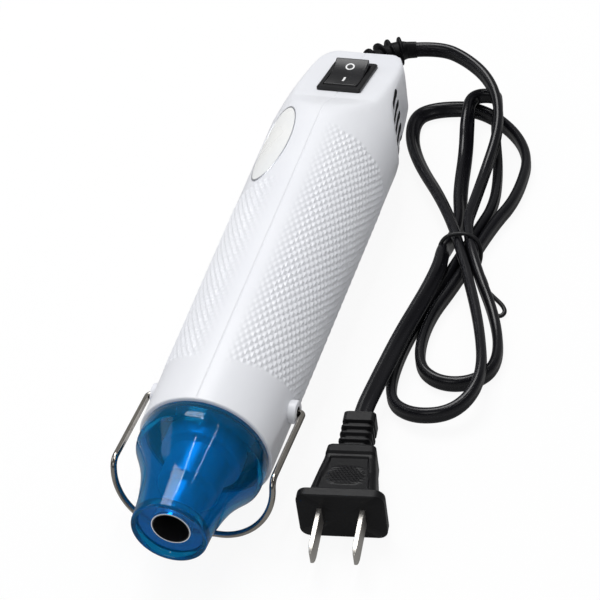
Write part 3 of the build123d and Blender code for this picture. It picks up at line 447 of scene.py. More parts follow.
def turned_skin(profile, axis_height, sides):
    """Grid turned about a level axis from (x, radius) points: y is radius cos, z is height + radius sin."""
    profile = np.asarray(profile, dtype=float)
    angle = full_turn(sides)
    x, radius = profile[:, None, 0], profile[:, None, 1]
    rings = np.stack(np.broadcast_arrays(x, radius * np.cos(angle), axis_height + radius * np.sin(angle)), -1)
    return closed_grid(rings)


boot_inside = [(rear_x + ahead, radius) for ahead, radius in (
    (3.5, 0), (3.5, 5.3), (3.3, 5.6), (2.3, 5.6), (2.06, 5.3), (2.06, 4.1), (0.1, 4.1), (0.1, 0))]
boot = skin("boot", [boot_skin(), turned_skin(boot_inside, boot_height, 48)], boot_rubber, 30)
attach(boot, "tool")
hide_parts("strain_relief")

# Cord tie: one turn of thin black coated wire round the hank's waist, its ends twisted together
# and bent back into a small open loop beside the cord.
tie_place = (-37.2, 48.3)
tie_heading = math.radians(10.5)
tie_half_width = 6.9
tie_middle = 6.5
tie_half_height = 6.0
tie_slant = 3.2
tie_wire = 0.65


def tie_points():
    """Points of the ring, in metres: an oval across the hank whose two halves slant along it,
    so that its ends pass each other. The oval is |cos|^0.8 wide and |sin|^0.8 high."""
    turn = np.linspace(math.radians(-38), math.radians(322), 15)
    across = tie_half_width * np.sign(np.cos(turn)) * np.abs(np.cos(turn)) ** 0.8 + 0.4
    height = tie_middle + tie_half_height * np.sign(np.sin(turn)) * np.abs(np.sin(turn)) ** 0.8
    along = tie_slant * np.sin(turn)
    x = tie_place[0] - along * math.cos(tie_heading) - across * math.sin(tie_heading)
    y = tie_place[1] - along * math.sin(tie_heading) + across * math.cos(tie_heading)
    return [tuple(point * MM) for point in np.stack([x, y, height], 1)]


tie_tail = places_of([
    (-345, 560, 21), (-310, 585, 9), (-270, 598, 9), (-242, 625, 12), (-206, 663, 14),
    (-178, 678, 12), (-158, 666, 9), (-165, 640, 9), (-200, 622, 9), (-240, 600, 16),
    (-275, 580, 22), (-335, 562, 21),
])


def carried_round(line, radius, sides=14):
    """A round tube along a line in metres; each ring's directions are the last ring's, made square again."""
    along = np.gradient(line, axis=0)
    along /= np.linalg.norm(along, axis=1)[:, None]
    side = np.cross(along[0], (0.3, 0.2, 1.0))
    levels = []
    for way in along:
        side = side - way * side.dot(way)
        side = side / np.linalg.norm(side)
        levels.append(side)
    level = np.array(levels)
    return closed_tube(line, radius * unit_circle(sides), level, np.cross(along, level))


tie_coat = moulded("tie_coat", (0.009, 0.009, 0.01), (0.013, 0.013, 0.015), 0.28, 0.4, 1500.0, 0.15,
                   Specular_IOR_Level=0.3)[0]
tie_ring = carried_round(route_line("tie_line", tie_points(), 10), tie_wire)
twisted_tail = carried_round(route_line("tail_line", tie_tail, 8), tie_wire * 1.1)
tie = skin("cord_tie_wire", [tie_ring, twisted_tail], tie_coat, 60)
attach(tie, "tool")
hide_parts("cord_tie")

# Plug: moulded black PVC with a four-rib relief, a ledge for the fingers, a body that widens to the
# flange, and a hatched grip in a sunk panel on both faces. Two flat blades stand in its face.
plug_tip = np.array((39.65, 37.5))
plug_heading = math.radians(7)
plug_height = 8.75


def plug_place(ahead, aside, height):
    """Points of the plug from the tip of its relief: ahead and aside turned by its heading."""
    x = plug_tip[0] + ahead * math.cos(plug_heading) - aside * math.sin(plug_heading)
    y = plug_tip[1] + ahead * math.sin(plug_heading) + aside * math.cos(plug_heading)
    return np.stack(np.broadcast_arrays(x, y, plug_height + height), -1)


def box_ring(half_width, half_height, corner, per_side=26, per_corner=5):
    """One turn round a rounded rectangle as (aside, height) points: a straight side and a quarter circle,
    four times over."""
    sides = []
    for quarter in range(4):
        wide, tall = (half_width, half_height) if quarter % 2 == 0 else (half_height, half_width)
        along = np.linspace(-(tall - corner), tall - corner, per_side)
        side = np.stack([np.full_like(along, wide), along], 1)
        turn = np.linspace(0, math.pi / 2, per_corner + 2)[1:-1]
        bend = np.stack([wide - corner + corner * np.cos(turn), tall - corner + corner * np.sin(turn)], 1)
        aside, height = np.concatenate([side, bend]).T
        cos, sin = ((1, 0), (0, 1), (-1, 0), (0, -1))[quarter]
        sides.append(np.stack([aside * cos - height * sin, aside * sin + height * cos], 1))
    return np.concatenate(sides)


plug_stations = (4.4, 4.9, 19.6, 20.0, 20.6, 23.2, 23.9, 25.2, 30, 36, 40.6, 41.0, 41.3, 43.9, 44.2)
plug_half_widths = (4.5, 4.9, 4.9, 6.9, 7.3, 7.5, 7.6, 7.8, 8.6, 9.5, 10.2, 12.4, 13.0, 13.0, 12.6)
plug_half_heights = (3.7, 4.1, 4.1, 5.4, 5.8, 5.9, 5.2, 5.1, 5.6, 6.2, 6.7, 8.2, 8.75, 8.75, 8.35)
plug_corners = (1.2, 1.3, 1.3, 1.3, 1.3, 1.3, 1.3, 1.4, 1.6, 1.9, 2.2, 2.8, 3.0, 3.0, 2.8)
plug_steps = (4.9, 19.6, 20, 20.6, 23.2, 23.9, 41, 41.3, 43.9, 44.2)
groove_depth = 0.95
groove_first = 9.4
groove_pitch = 2.75
groove_count = 4
panel_rear = 24.6
panel_front = 38.9
panel_depth = 0.5
hatch_middle = 32.6
hatch_length = 4.2
hatch_width = 5.3
hatch_height = 0.42
hatch_pitch = 0.95


def plug_skin():
    """Rounded rectangles along the plug; four grooves run round the relief, and a sunk panel with
    raised hatching, two crossed sine waves inside an oval, is cut in the top and bottom of the body."""
    ahead = np.unique(np.concatenate([np.arange(plug_stations[0], plug_stations[-1], 0.2), plug_steps]))
    sizes = [np.interp(ahead, plug_stations, values)
             for values in (plug_half_widths, plug_half_heights, plug_corners)]
    rings = []
    for place, wide, tall, corner in zip(ahead, *sizes):
        groove = 0.0
        for rib in range(groove_count):
            off = abs(place - groove_first - groove_pitch * rib)
            groove = max(groove, min(max(groove_depth - off, 0) / 0.35, 1))
        ring = box_ring(wide - groove_depth * groove, tall - groove_depth * groove, corner)
        aside, height = ring.T
        share = (place - 26.2) / 10.5
        panel = np.clip((6.0 + 1.6 * share - np.abs(aside)) / 0.4, 0, 1) * (np.abs(height / tall) > 0.9)
        panel = panel * min(max(min(place - panel_rear, panel_front - place), 0) / 0.5, 1)
        oval = 1 - ((place - hatch_middle) / hatch_length) ** 4 - (aside / hatch_width) ** 4
        oval = np.clip(oval / 0.3, 0, 1)
        hatch = 0.5 + 0.5 * np.sin((aside * 0.8 + place * 0.6) * 2 * math.pi / hatch_pitch)
        hatch = hatch * (0.5 + 0.5 * np.sin((aside * 0.8 - place * 0.6) * 2 * math.pi / hatch_pitch))
        sunk = panel * (panel_depth - hatch_height * oval * hatch ** 0.6)
        rings.append(plug_place(place, aside, height - np.sign(height) * sunk))
    ends = [plug_place(at, 0.0, 0.0) for at in (ahead[0], ahead[-1])]
    return closed_grid(capped(np.array(rings), *ends))


plug_pvc = moulded("plug_pvc", (0.005, 0.005, 0.006), (0.008, 0.008, 0.009), 0.34, 0.46, 1400.0, 0.3,
                   Specular_IOR_Level=0.22)[0]
plug = skin("plug", [plug_skin()], plug_pvc, 34)
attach(plug, "tool")
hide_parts("plug_body")


blade_stations = (43.4, 43.9, 50, 57.6, 59.2, 60.3, 60.68, 60.7)
blade_half_gauges = (0.75, 0.75, 0.75, 0.75, 0.62, 0.5, 0.36, 0)
blade_half_widths = (3.175, 3.175, 3.175, 3.175, 3.0, 2.4, 2.0, 0)
blade_edge = 0.2
blade_aside = 6.35


def blade_skin(aside):
    """One blade: a thin flat bar of rounded rectangles that narrows at its tip to a point."""
    points = 32
    rings = [np.repeat(plug_place(blade_stations[0], aside, 0.0)[None], points, 0)]
    for place, gauge, wide in zip(blade_stations, blade_half_gauges, blade_half_widths):
        edge = min(blade_edge, gauge / 2 + 0.01)
        ring = box_ring(gauge, wide, edge, 5, 3) if gauge else np.zeros((points, 2))
        rings.append(plug_place(place, aside + ring[:, 0], ring[:, 1]))
    return closed_grid(np.array(rings))


def brushed(name, colour, dark, rough_low, rough_high, stretch, **sockets):
    """A metal with fine drawn lines: noise stretched along one direction drives its bump and its colour."""
    finish, tree, shader = new_finish(name, colour, (rough_low + rough_high) / 2, 1.0, **sockets)
    place = add(tree, "TexCoord").outputs["Object"]
    mapped = add(tree, "Mapping", {"Vector": place, "Scale": stretch})
    lines = add(tree, "TexNoise", {"Vector": mapped.outputs[0], "Scale": 300.0, "Detail": 4.0}).outputs["Fac"]
    bump = add(tree, "Bump", {"Height": lines, "Strength": 0.12, "Distance": 0.0001})
    join(tree, blend_colour(tree, lines, (*colour, 1), (*dark, 1)), shader, "Base Color")
    join(tree, blend_value(tree, lines, rough_low, rough_high), shader, "Roughness")
    join(tree, bump.outputs["Normal"], shader, "Normal")
    return finish


blade_metal = brushed("blade_metal", (0.8, 0.77, 0.72), (0.66, 0.64, 0.6), 0.4, 0.52, (0.05, 1, 1))
blades = skin("blades", [blade_skin(-blade_aside), blade_skin(blade_aside)], blade_metal, 40)
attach(blades, "tool")
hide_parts("plug_blades")

# Housing: two white moulded halves that meet along the top and the belly, closed by four screws.
# Each is a drawn-in handle with a moulded diamond grip, a slanted flat for the switch, and a
# narrower tail with flat flanks, five air slots each side and a round hole for the cord boot.
ring_x = 74.65
shoulder_x = -64.35
ring_radius = 20.5
shoulder_radius = 22.2
wall = 2.0
flat_front_x = -71.35
flat_front_height = 38.9
flat_tilt = math.radians(13.5)
ramp_length = 11.4
ramp_rise = 5.6
tail_length = 44.7
tail_shares = (0, 0.31, 0.55, 0.74, 0.91, 1)
tail_radius_shares = (1, 0.953, 0.884, 0.82, 0.725, 0.61)
flank_shares = (0, 0.245, 0.425, 0.78, 0.95, 1)
flank_width_shares = (1.02, 0.833, 0.773, 0.73, 0.58, 0.42)
belly_depths = (25.8, 15.0, 12.0, 11.0, 10.2, 9.7)
flank_power = 80.0
lid_power = 36.0
belly_power = 22.0


def smooth_through(x, xs, ys):
    """Cubic curve through given points, with slopes from their neighbours."""
    xs, ys = np.asarray(xs, float), np.asarray(ys, float)
    slopes = np.gradient(ys, xs)
    at = np.clip(np.searchsorted(xs, x) - 1, 0, len(xs) - 2)
    step = xs[at + 1] - xs[at]
    t = np.clip((x - xs[at]) / step, 0, 1)
    return ((2 * t ** 3 - 3 * t ** 2 + 1) * ys[at] + (t ** 3 - 2 * t ** 2 + t) * step * slopes[at]
            + (3 * t ** 2 - 2 * t ** 3) * ys[at + 1] + (t ** 3 - t ** 2) * step * slopes[at + 1])


def handle_radius(x):
    """Radius of the handle, which grows evenly from the ring to the shoulder."""
    return ring_radius + (shoulder_radius - ring_radius) * (ring_x - x) / (ring_x - shoulder_x)


def section_centre(x):
    """Height of each section's centre; the belly of the handle lies level on the floor."""
    return np.where(x > shoulder_x, handle_radius(x), shoulder_radius)


def housing_radius(x, turn):
    """Radius at a place along the tool and a turn from +Y towards +Z. It is the soft least of a round
    body, two flat flanks, a belly and the slanted flat with its ramp: (sum of radius^-p)^(-1/p)."""
    tail = x < shoulder_x
    back = np.clip((shoulder_x - x) / tail_length, 0, 1)
    round_body = np.where(x > shoulder_x, handle_radius(x),
                          shoulder_radius * smooth_through(back, tail_shares, tail_radius_shares))
    flank = shoulder_radius * np.interp(back, flank_shares, flank_width_shares)
    belly = np.interp(back, flank_shares, belly_depths)
    flat = flat_front_height - (flat_front_x - x) * math.tan(flat_tilt)
    ramp = flat_front_height + (x - flat_front_x) * ramp_rise / ramp_length
    lid = np.where(x < flat_front_x, flat, ramp) - section_centre(x)
    aside = np.maximum(np.abs(np.cos(turn)), 1e-4)
    up = np.sin(turn)
    powers = round_body ** -flank_power + np.where(tail, (flank / aside) ** -flank_power, 0)
    crisp = powers ** (-1 / flank_power)
    lid_share = np.where(up > 0.02, (np.maximum(lid, 1) / np.maximum(up, 1e-4)) ** -lid_power, 0)
    crisp = (crisp ** -lid_power + lid_share) ** (-1 / lid_power)
    below = belly / np.maximum(-up, 1e-4)
    blended = (crisp ** -belly_power + below ** -belly_power) ** (-1 / belly_power)
    return np.where(tail & (up < -0.02), blended, crisp)


grip_along = 0.27
grip_round = 0.468
grip_depth = 0.62
grip_sink = 0.4
grip_rear = -52.3
grip_rear_by_sticker = -25.5
grip_front = 57.6
grip_bottom = 118


def grip_height(x, turn, left):
    """Height of the moulded grip: bumps between two families of grooves 1.85 mm apart at 30 degrees to the
    axis, each |cos|^0.7. It fades towards the top seam and ends along two slanted edges."""
    from_top = math.pi / 2 - turn
    round_way = from_top * handle_radius(x)
    one = grip_along * x + grip_round * round_way
    two = grip_along * x - grip_round * round_way
    bumps = (np.abs(np.cos(math.pi * one)) * np.abs(np.cos(math.pi * two))) ** 0.7
    degrees = np.degrees(from_top)
    slant = (degrees - 15) / 70
    rear_edge = (grip_rear_by_sticker if left else grip_rear) + 4.6 * slant
    front_edge = grip_front - 6.0 * slant
    inside = np.clip((x - rear_edge) / 0.5, 0, 1) * np.clip((front_edge - x) / 0.5, 0, 1)
    inside = inside * np.clip((grip_bottom - degrees) / 2, 0, 1)
    fade = np.clip((degrees - 9) / 15, 0, 1)
    return inside * fade * (grip_depth * bumps - grip_sink)


def stepped(edges, steps):
    """Stations between edges, each stretch cut in its own even steps."""
    stretches = [np.arange(a, b, step) for a, b, step in zip(edges, edges[1:], steps)]
    return np.concatenate(stretches + [[edges[-1]]])


rear_round = 1.4
lip_round = 0.5
seam_depth = 0.16
seam_half_width = 0.22


def rounded_edge(distance, radius):
    """How far a skin drops near an edge that is rounded by a quarter circle of the radius."""
    left = radius - np.minimum(distance, radius)
    return radius - np.sqrt(np.maximum(radius ** 2 - left ** 2, 0))


def housing_half(side):
    """One half as a closed wall: the outer skin with its grip, an inner skin one wall inside, and the
    rims between them. Its edges at the seam and at both ends are rounded, which leaves a fine groove."""
    x = stepped((rear_x, rear_x + rear_round, -76, -61, -53, 58.2, 73.9, ring_x),
                (0.14, 0.8, 0.45, 0.8, 0.48, 0.9, 0.12))
    turn = np.radians(stepped((-90, -88.6, -30, 82, 88.6, 90), (0.35, 2.0, 1.15, 1.3, 0.35)))
    along, round_ = np.meshgrid(x, turn, indexing="ij")
    radius = housing_radius(along, round_)
    inner = housing_radius(np.clip(along, rear_x + wall, ring_x), round_) - wall
    outer = radius + grip_height(along, round_, side < 0)
    outer = outer - rounded_edge(along - rear_x, rear_round) - rounded_edge(ring_x - along, lip_round)
    seam = np.abs(np.cos(round_)) * radius
    outer = outer - seam_depth * np.exp(-(seam / seam_half_width) ** 2)
    centre = section_centre(along)

    def placed(r, where):
        return np.stack([where, side * np.maximum(r * np.cos(round_), 0), centre + r * np.sin(round_)], -1)

    outside = placed(outer, along)
    within = placed(inner, np.clip(along, rear_x + wall, None))[:, ::-1]
    loop = np.concatenate([outside, within], 1)
    hub = np.tile(np.array((rear_x, 0, shoulder_radius)), (len(turn), 1))
    deep_hub = hub + (wall, 0, 0)
    seam_rear = np.array([[outside[0, 0], hub[0], outside[0, -1]],
                          [within[0, -1], deep_hub[0], within[0, 0]]])
    ends = (hub, outside[0]), (deep_hub, within[0]), (outside[-1], within[-1, ::-1])
    return [closed_grid(loop), (seam_rear, grid_quads(2, 3))] + [
        (np.stack(pair), grid_quads(2, len(turn))) for pair in ends]


white_shell = moulded("white_shell", (0.82, 0.83, 0.86), (0.78, 0.79, 0.83), 0.3, 0.42, 1600.0, 0.1, 18.0,
                      Subsurface_Weight=0.06, Subsurface_Radius=(0.003, 0.003, 0.003))[0]
# Painted shade: a near-black finish for the white shell's inner faces, so that the air slots and openings
# look dark inside.
painted_inside_shade = moulded("painted_inside_shade", (0.05, 0.05, 0.055), (0.035, 0.035, 0.04), 0.5, 0.65, 900.0, 0.2,
                       30.0)[0]


def face_middles(mesh):
    """The middle of each face in millimetres, as arrays of x, y and z."""
    middles = np.empty(3 * len(mesh.polygons), dtype=np.float32)
    mesh.polygons.foreach_get("center", middles)
    return middles.reshape(-1, 3).T.astype(float) / MM


def paint_inside_shade(mesh):
    """Paints shade on the faces that lie more than 0.7 mm under the outer skin: they take the near-black
    painted-shade finish, though the shell is white all through.
    """
    mesh.materials.append(painted_inside_shade)
    x, y, z = face_middles(mesh)
    up = z - section_centre(x)
    out = np.hypot(y, up)
    deep = (housing_radius(x, np.arctan2(up, np.abs(y))) - out > 0.7) & (out > 3)
    deep &= (x > rear_x + 0.5) & (x < ring_x - 0.3)
    mesh.polygons.foreach_set("material_index", deep.astype(np.int32))


def prism(outline, centre, side_way, up_way, depth_way, start, end):
    """Closed bar from a flat outline of (side, up) points, carried from start to end along depth_way."""
    outline = np.asarray(outline, float)
    flat = centre + outline[:, :1] * side_way + outline[:, 1:] * up_way
    middle = flat.mean(0)
    near, far = depth_way * start, depth_way * end
    return closed_grid(capped(np.array([flat + near, flat + far]), middle + near, middle + far))


def slot_outline(length, height):
    """Outline of a slot with round ends."""
    turn = np.linspace(-math.pi / 2, math.pi / 2, 9)
    half = length / 2 - height / 2
    front = np.stack([half + height / 2 * np.cos(turn), height / 2 * np.sin(turn)], 1)
    return np.concatenate([front, -front])


slot_count = 5
slot_pitch = 4.9
slot_length = 14.5
slot_height = 2.8
slot_front_x = -72.85
switch_middle = np.array((-86.75, 0.0, 35.2))
switch_along = np.array((math.cos(flat_tilt), 0, math.sin(flat_tilt)))
switch_out = np.array((-math.sin(flat_tilt), 0, math.cos(flat_tilt)))
opening_half_length = 9.85
opening_half_width = 7.0
boot_hole_radius = 4.16
screw_places = ((63.11, 5.28), (21.69, 5.08), (-56.98, 5.09), (-96.85, 15.8))
screw_hole_radius = 2.5


def housing_cutters(side):
    """Bars that cut a half's five air slots, its share of the switch opening and its boot hole, and the
    screw holes of the left half."""
    bars = []
    ex, ey, ez = np.eye(3)
    for index in range(slot_count):
        place = index - slot_count // 2
        shift = 4.2 * (place / 2) ** 2
        middle_x = slot_front_x - slot_length / 2 - 0.4 * shift
        centre = np.array((middle_x, 0, shoulder_radius + place * slot_pitch))
        outline = slot_outline(slot_length - 1.2 * shift, slot_height)
        bars.append(prism(outline, centre, ex, ez, ey, side * 8.0, side * 30.0))
    opening = np.array(((-1, -1), (1, -1), (1, 1), (-1, 1))) * (opening_half_length, opening_half_width)
    bars.append(prism(opening, switch_middle, switch_along, ey, switch_out, -6.0, 6.0))
    ring = unit_circle(32)
    bars.append(prism(ring * boot_hole_radius, np.array((rear_x, 0, boot_height)), ey, ez, ex, -3.0, 6.0))
    for x, height in screw_places if side < 0 else ():
        bars.append(prism(ring * screw_hole_radius, np.array((x, 0, height)), ex, ez, ey, -30.0, -8.0))
    return bars


boss_x = 55.45
boss_line = np.array([(17.9, 0), (17.9, 3.6), (22.4, 3.6), (22.82, 3.43), (23.0, 3.0), (23.0, 1.9),
                      (22.8, 1.75), (19.4, 1.6), (19.4, 0)])
boss_face_y = 22.9
boss_hole_radius = 1.8


def boss_skin(side):
    """The boss for one end of the wire: a rounded cap turned about the pin, with the pin's hole in it."""
    out, radius = boss_line[:, None, 0], boss_line[:, None, 1]
    angle = full_turn(40)
    rings = np.stack(np.broadcast_arrays(
        boss_x + radius * np.cos(angle), side * out, ring_radius + radius * np.sin(angle)), -1)
    return closed_grid(rings)


def paint_hole_shade(mesh):
    """Paints shade in a boss's hole: its faces take the near-black painted-shade finish of the shell's
    inside.
    """
    x, y, z = face_middles(mesh)
    hole = (np.abs(y) < boss_face_y) & (np.hypot(x - boss_x, z - ring_radius) < boss_hole_radius)
    mesh.polygons.foreach_set("material_index", hole.astype(np.int32))


def cut(piece, bars):
    """Takes closed bars out of a piece and applies the cut."""
    tool = skin(piece.name + "_cutter", bars, white_shell)
    change = piece.modifiers.new("cut", "BOOLEAN")
    change.operation = "DIFFERENCE"
    change.solver = "EXACT"
    change.object = tool
    bpy.context.view_layer.update()
    done = bpy.data.meshes.new_from_object(piece.evaluated_get(bpy.context.evaluated_depsgraph_get()))
    piece.modifiers.clear()
    piece.data = done
    bpy.data.objects.remove(tool)
    smooth(done, 34)


# Each half is cut, then its inner faces and its boss's hole are painted near-black as shade.
for side, name, node in ((-1, "shell_left", "housing_left"), (1, "shell_right", "housing_right")):
    shell = skin(name, housing_half(side), white_shell, 34)
    cut(shell, housing_cutters(side))
    paint_inside_shade(shell.data)
    boss = skin(name + "_boss", [boss_skin(side)], white_shell, 34)
    paint_hole_shade(boss.data)
    merged = bmesh.new()
    merged.from_mesh(shell.data)
    merged.from_mesh(boss.data)
    merged.to_mesh(shell.data)
    merged.free()
    bpy.data.objects.remove(boss)
    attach(shell, "tool")
    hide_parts(node)

# Sticker: a blank oval of pale film on the upper left of the handle, with a fine bright rim.
# It is laid round the shell, 37 by 14 mm, and stands a quarter of a millimetre proud.
sticker_centre = -43.85
sticker_turn = math.radians(35)
sticker_half_length = 18.5
sticker_half_width = 7.0


def sticker_rings(shares, lifts):
    """Rings of the oval round the shell, each at its share of the oval's size and its lift off the shell."""
    a = full_turn(120)
    share = np.asarray(shares, float)[:, None]
    x = sticker_centre + sticker_half_length * share * np.cos(a)
    from_top = sticker_turn + sticker_half_width * share * np.sin(a) / handle_radius(x)
    radius = handle_radius(x) + np.asarray(lifts, float)[:, None]
    rings = np.stack([x, -radius * np.sin(from_top), section_centre(x) + radius * np.cos(from_top)], -1)
    return closed_grid(rings)


film_shares = (0, 0.2, 0.4, 0.6, 0.8, 0.9, 0.955, 0.955, 0.6, 0.3, 0)
film_lifts = (0.2, 0.2, 0.2, 0.2, 0.2, 0.2, 0.2, -0.1, -0.1, -0.1, -0.1)
film = moulded("sticker_film", (0.88, 0.88, 0.86), (0.84, 0.85, 0.85), 0.24, 0.34, 300.0, 0.05, 60.0)[0]
sticker = skin("sticker", [sticker_rings(film_shares, film_lifts)], film, 30)
rim_shares = (0.955, 0.96, 0.968, 0.99, 1.0, 1.0, 0.955, 0.955)
rim_lifts = (0.2, 0.25, 0.27, 0.27, 0.2, -0.1, -0.1, 0.2)
foil = brushed("sticker_rim", (0.86, 0.88, 0.92), (0.76, 0.78, 0.82), 0.35, 0.5, (1, 1, 1))
sticker_rim = skin("sticker_rim", [sticker_rings(rim_shares, rim_lifts)], foil, 30)
for piece in (sticker, sticker_rim):
    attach(piece, "tool")
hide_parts("label_plate")

# Hot tube: drawn steel, wide where it holds the heater, then stepped down twice to the outlet that
# ends in the guard's face. It is tinted by heat, and its bore is painted near-black as shade.
tube_line = [
    (12.65, 11.6), (12.65, 12.2), (79.3, 12.2), (79.9, 12.1), (80.3, 11.7), (80.4, 10.6),
    (80.6, 9.8), (81.0, 9.35), (81.7, 9.2), (91.6, 9.2), (92.3, 9.05), (92.7, 8.6),
    (92.85, 7.4), (93.1, 6.5), (93.6, 6.05), (94.4, 5.9), (107.05, 5.9), (107.05, 5.3),
    (94.2, 5.3), (93.3, 5.45), (92.6, 5.9), (92.3, 6.7), (92.15, 8.2), (91.7, 8.6),
    (81.4, 8.6), (80.5, 8.85), (80.0, 9.5), (79.8, 10.9), (79.5, 11.5), (79.0, 11.6),
    (12.65, 11.6),
]
# Painted shade: the tube's faces nearer its axis than the bore's edge take a near-black colour.
tube_bore = 0.0056
bore_painted_shade = (0.02, 0.02, 0.022, 1)
tube_steel, tree, shader = moulded("tube_steel", (0.93, 0.93, 0.92), (0.84, 0.83, 0.82), 0.3, 0.4, 1500.0,
                                   0.1, 80.0, 0.3)
parts = add(tree, "SeparateXYZ", {0: add(tree, "TexCoord").outputs["Object"]})
height = add(tree, "Math", {0: parts.outputs["Z"], 1: ring_radius * MM}, operation="SUBTRACT")
across = add(tree, "CombineXYZ", {"Y": parts.outputs["Y"], "Z": height.outputs[0]})
out = add(tree, "VectorMath", {0: across.outputs[0]}, operation="LENGTH")
narrow = add(tree, "Math", {0: out.outputs["Value"], 1: tube_bore}, operation="LESS_THAN")
steel = shader.inputs["Base Color"].links[0].from_socket
join(tree, blend_colour(tree, narrow.outputs[0], steel, bore_painted_shade), shader, "Base Color")
tube = skin("hot_tube", [turned_skin(tube_line, ring_radius, 96)], tube_steel, 30)
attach(tube, "tool")
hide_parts("nozzle_tube")

# Guard: clear deep blue plastic round the hot tube, with a plain collar, a cone that draws in to a
# rolled rim, and a sunk face with the outlet's hole. Its rear edge sits in the shell.
guard_length = 34.4
guard_wall = 1.5
cone_x = ring_x + guard_length * np.array((0.183, 0.262, 0.346, 0.419, 0.538, 0.669, 0.814, 0.93, 1))
cone_radius = ring_radius * np.array((0.951, 0.873, 0.798, 0.742, 0.673, 0.62, 0.58, 0.566, 0.56))


def guard_line():
    """The guard's closed outline as (x, radius): spigot, collar, cone, rim, sunk face and the inside."""
    x = np.linspace(ring_x + 6.5, ring_x + 33.8, 44)
    cone = np.stack([x, smooth_through(x, cone_x, cone_radius)], 1)
    x = np.linspace(105.4, 81.4, 40)
    within = np.stack([x, smooth_through(x, cone_x, cone_radius) - guard_wall], 1)
    collar = [(68.95, 16.7), (68.95, 18.0), (69.1, 18.2), (74.65, 18.2), (74.65, 19.2), (74.75, 19.4),
              (75.0, 19.5), (80.4, 19.5), (80.8, 19.42), (81.02, 19.2)]
    rim = [(108.75, 11.4), (108.97, 11.22), (109.05, 10.95), (109.0, 10.6), (108.8, 10.25), (108.45, 10.0),
           (107.4, 9.9), (107.12, 9.75), (107.05, 9.4), (107.05, 6.1), (106.95, 5.97), (105.4, 5.97),
           (105.4, 9.0)]
    inside = [(80.9, 17.8), (80.2, 18.0), (76.15, 18.0), (75.4, 17.35), (74.65, 16.7), (68.95, 16.7)]
    return np.concatenate([collar, cone, rim, within, inside])


blue_guard = moulded("blue_guard", (0.012, 0.47, 0.92), (0.01, 0.43, 0.88), 0.03, 0.07, 200.0, 0.02, 30.0,
                     Transmission_Weight=0.9, IOR=1.33, Specular_IOR_Level=0.35)[0]
guard = skin("blue_guard", [turned_skin(guard_line(), ring_radius, 128)], blue_guard, 30)
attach(guard, "tool")
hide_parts("nozzle_guard")

# Switch: a black frame with a see-saw button. The button's two faces are dished, its O end stands
# up at rest, and the O and I are printed in white on it.
rocker_turn = math.radians(9)
pivot_depth = 1.6
button_half = 8.15
button_dip = 1.6
button_rise = 1.5
button_dish = 0.28
button_half_width = 5.7
button_round = 0.45
button_under = ((8.2, -1.6), (4.5, -6.2), (-4.5, -6.2), (-8.2, -1.6))


def on_button(along, aside, out):
    """Points of the button in its own frame, turned 9 degrees about its pins and placed on the flat."""
    lift = out + pivot_depth
    u = along * math.cos(rocker_turn) + lift * math.sin(rocker_turn)
    w = lift * math.cos(rocker_turn) - along * math.sin(rocker_turn) - pivot_depth
    return (switch_middle + u[..., None] * switch_along + w[..., None] * switch_out
            + np.asarray(aside)[..., None] * np.array((0, 1.0, 0)))


def button_face(along):
    """Height of the button's top: two faces that meet low in the middle, each a little dished."""
    share = np.abs(along) / button_half
    return button_dip + button_rise * share - button_dish * np.sin(math.pi * np.clip(share, 0, 1))


def button_skin():
    """The button's outline carried across it, drawn in by a quarter circle at both sides."""
    face_x = np.linspace(-7.75, 7.75, 61)
    corner = np.linspace(0, math.pi / 2, 6)[1:]
    right = np.stack([7.75 + 0.4 * np.sin(corner), button_face(7.75) - 0.4 + 0.4 * np.cos(corner)], 1)
    left = np.stack([-right[::-1, 0], right[::-1, 1]], 1)
    line = np.concatenate([left, np.stack([face_x, button_face(face_x)], 1), right, button_under])
    middle = np.array((0, -1.0))
    edge = button_half_width - button_round * (1 - np.cos(corner[::-1]))
    half = np.array([button_half_width])
    aside = np.concatenate([-half, -edge[::-1], np.linspace(-5.0, 5.0, 9), edge, half])
    way_in = np.minimum((button_half_width - np.abs(aside)) / button_round, 1)
    inset = button_round * (1 - np.sqrt(np.clip(1 - (1 - way_in) ** 2, 0, 1)))
    reach = np.linalg.norm(line - middle, axis=1)
    rings = middle + (line - middle)[None] * (1 - inset[:, None, None] / reach[None, :, None])
    rings = capped(rings, middle, middle)
    aside = np.concatenate([aside[:1], aside, aside[-1:]])
    return closed_grid(on_button(rings[..., 0], np.repeat(aside[:, None], len(line), 1), rings[..., 1]))


def button_pin(side):
    """A pin the button turns on, as a short closed bar."""
    turn = full_turn(24)
    radius = np.array((0, 1.1, 1.2, 1.2, 0))[:, None]
    aside = side * np.array((6.6, 6.6, 6.5, 5.6, 5.6))[:, None]
    along, out = radius * np.cos(turn), radius * np.sin(turn) - pivot_depth
    return closed_grid(on_button(along, np.repeat(aside, len(turn), 1), out))


button_black = moulded("button_black", (0.009, 0.009, 0.010), (0.012, 0.012, 0.014), 0.2, 0.3, 1800.0, 0.12,
                       60.0, Specular_IOR_Level=0.35)[0]
button = skin("rocker_button", [button_skin(), button_pin(-1), button_pin(1)], button_black, 30)


def mark_skin(outer, inner):
    """A flat printed mark between two outlines of (along, aside) points, just proud of the button's face."""
    rings = np.stack([inner, inner, outer, outer, inner])
    lift = np.array((-0.02, 0.03, 0.03, -0.02, -0.02))[:, None]
    return closed_grid(on_button(rings[..., 0], rings[..., 1], button_face(rings[..., 0]) + lift))


ring = unit_circle(48)
bar = box_ring(1.5, 0.36, 0.15, 6, 3)
mark_white = moulded("mark_white", (0.85, 0.85, 0.85), (0.8, 0.8, 0.8), 0.4, 0.5, 2500.0, 0.1)[0]
marks = skin("rocker_marks", [mark_skin(ring * 1.55 + (-4.2, 0), ring * 1.05 + (-4.2, 0)),
                              mark_skin(bar + (3.4, 0), bar * 0.05 + (3.4, 0))], mark_white, 40)
for piece in (button, marks):
    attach(piece, "rocker")
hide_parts("rocker")

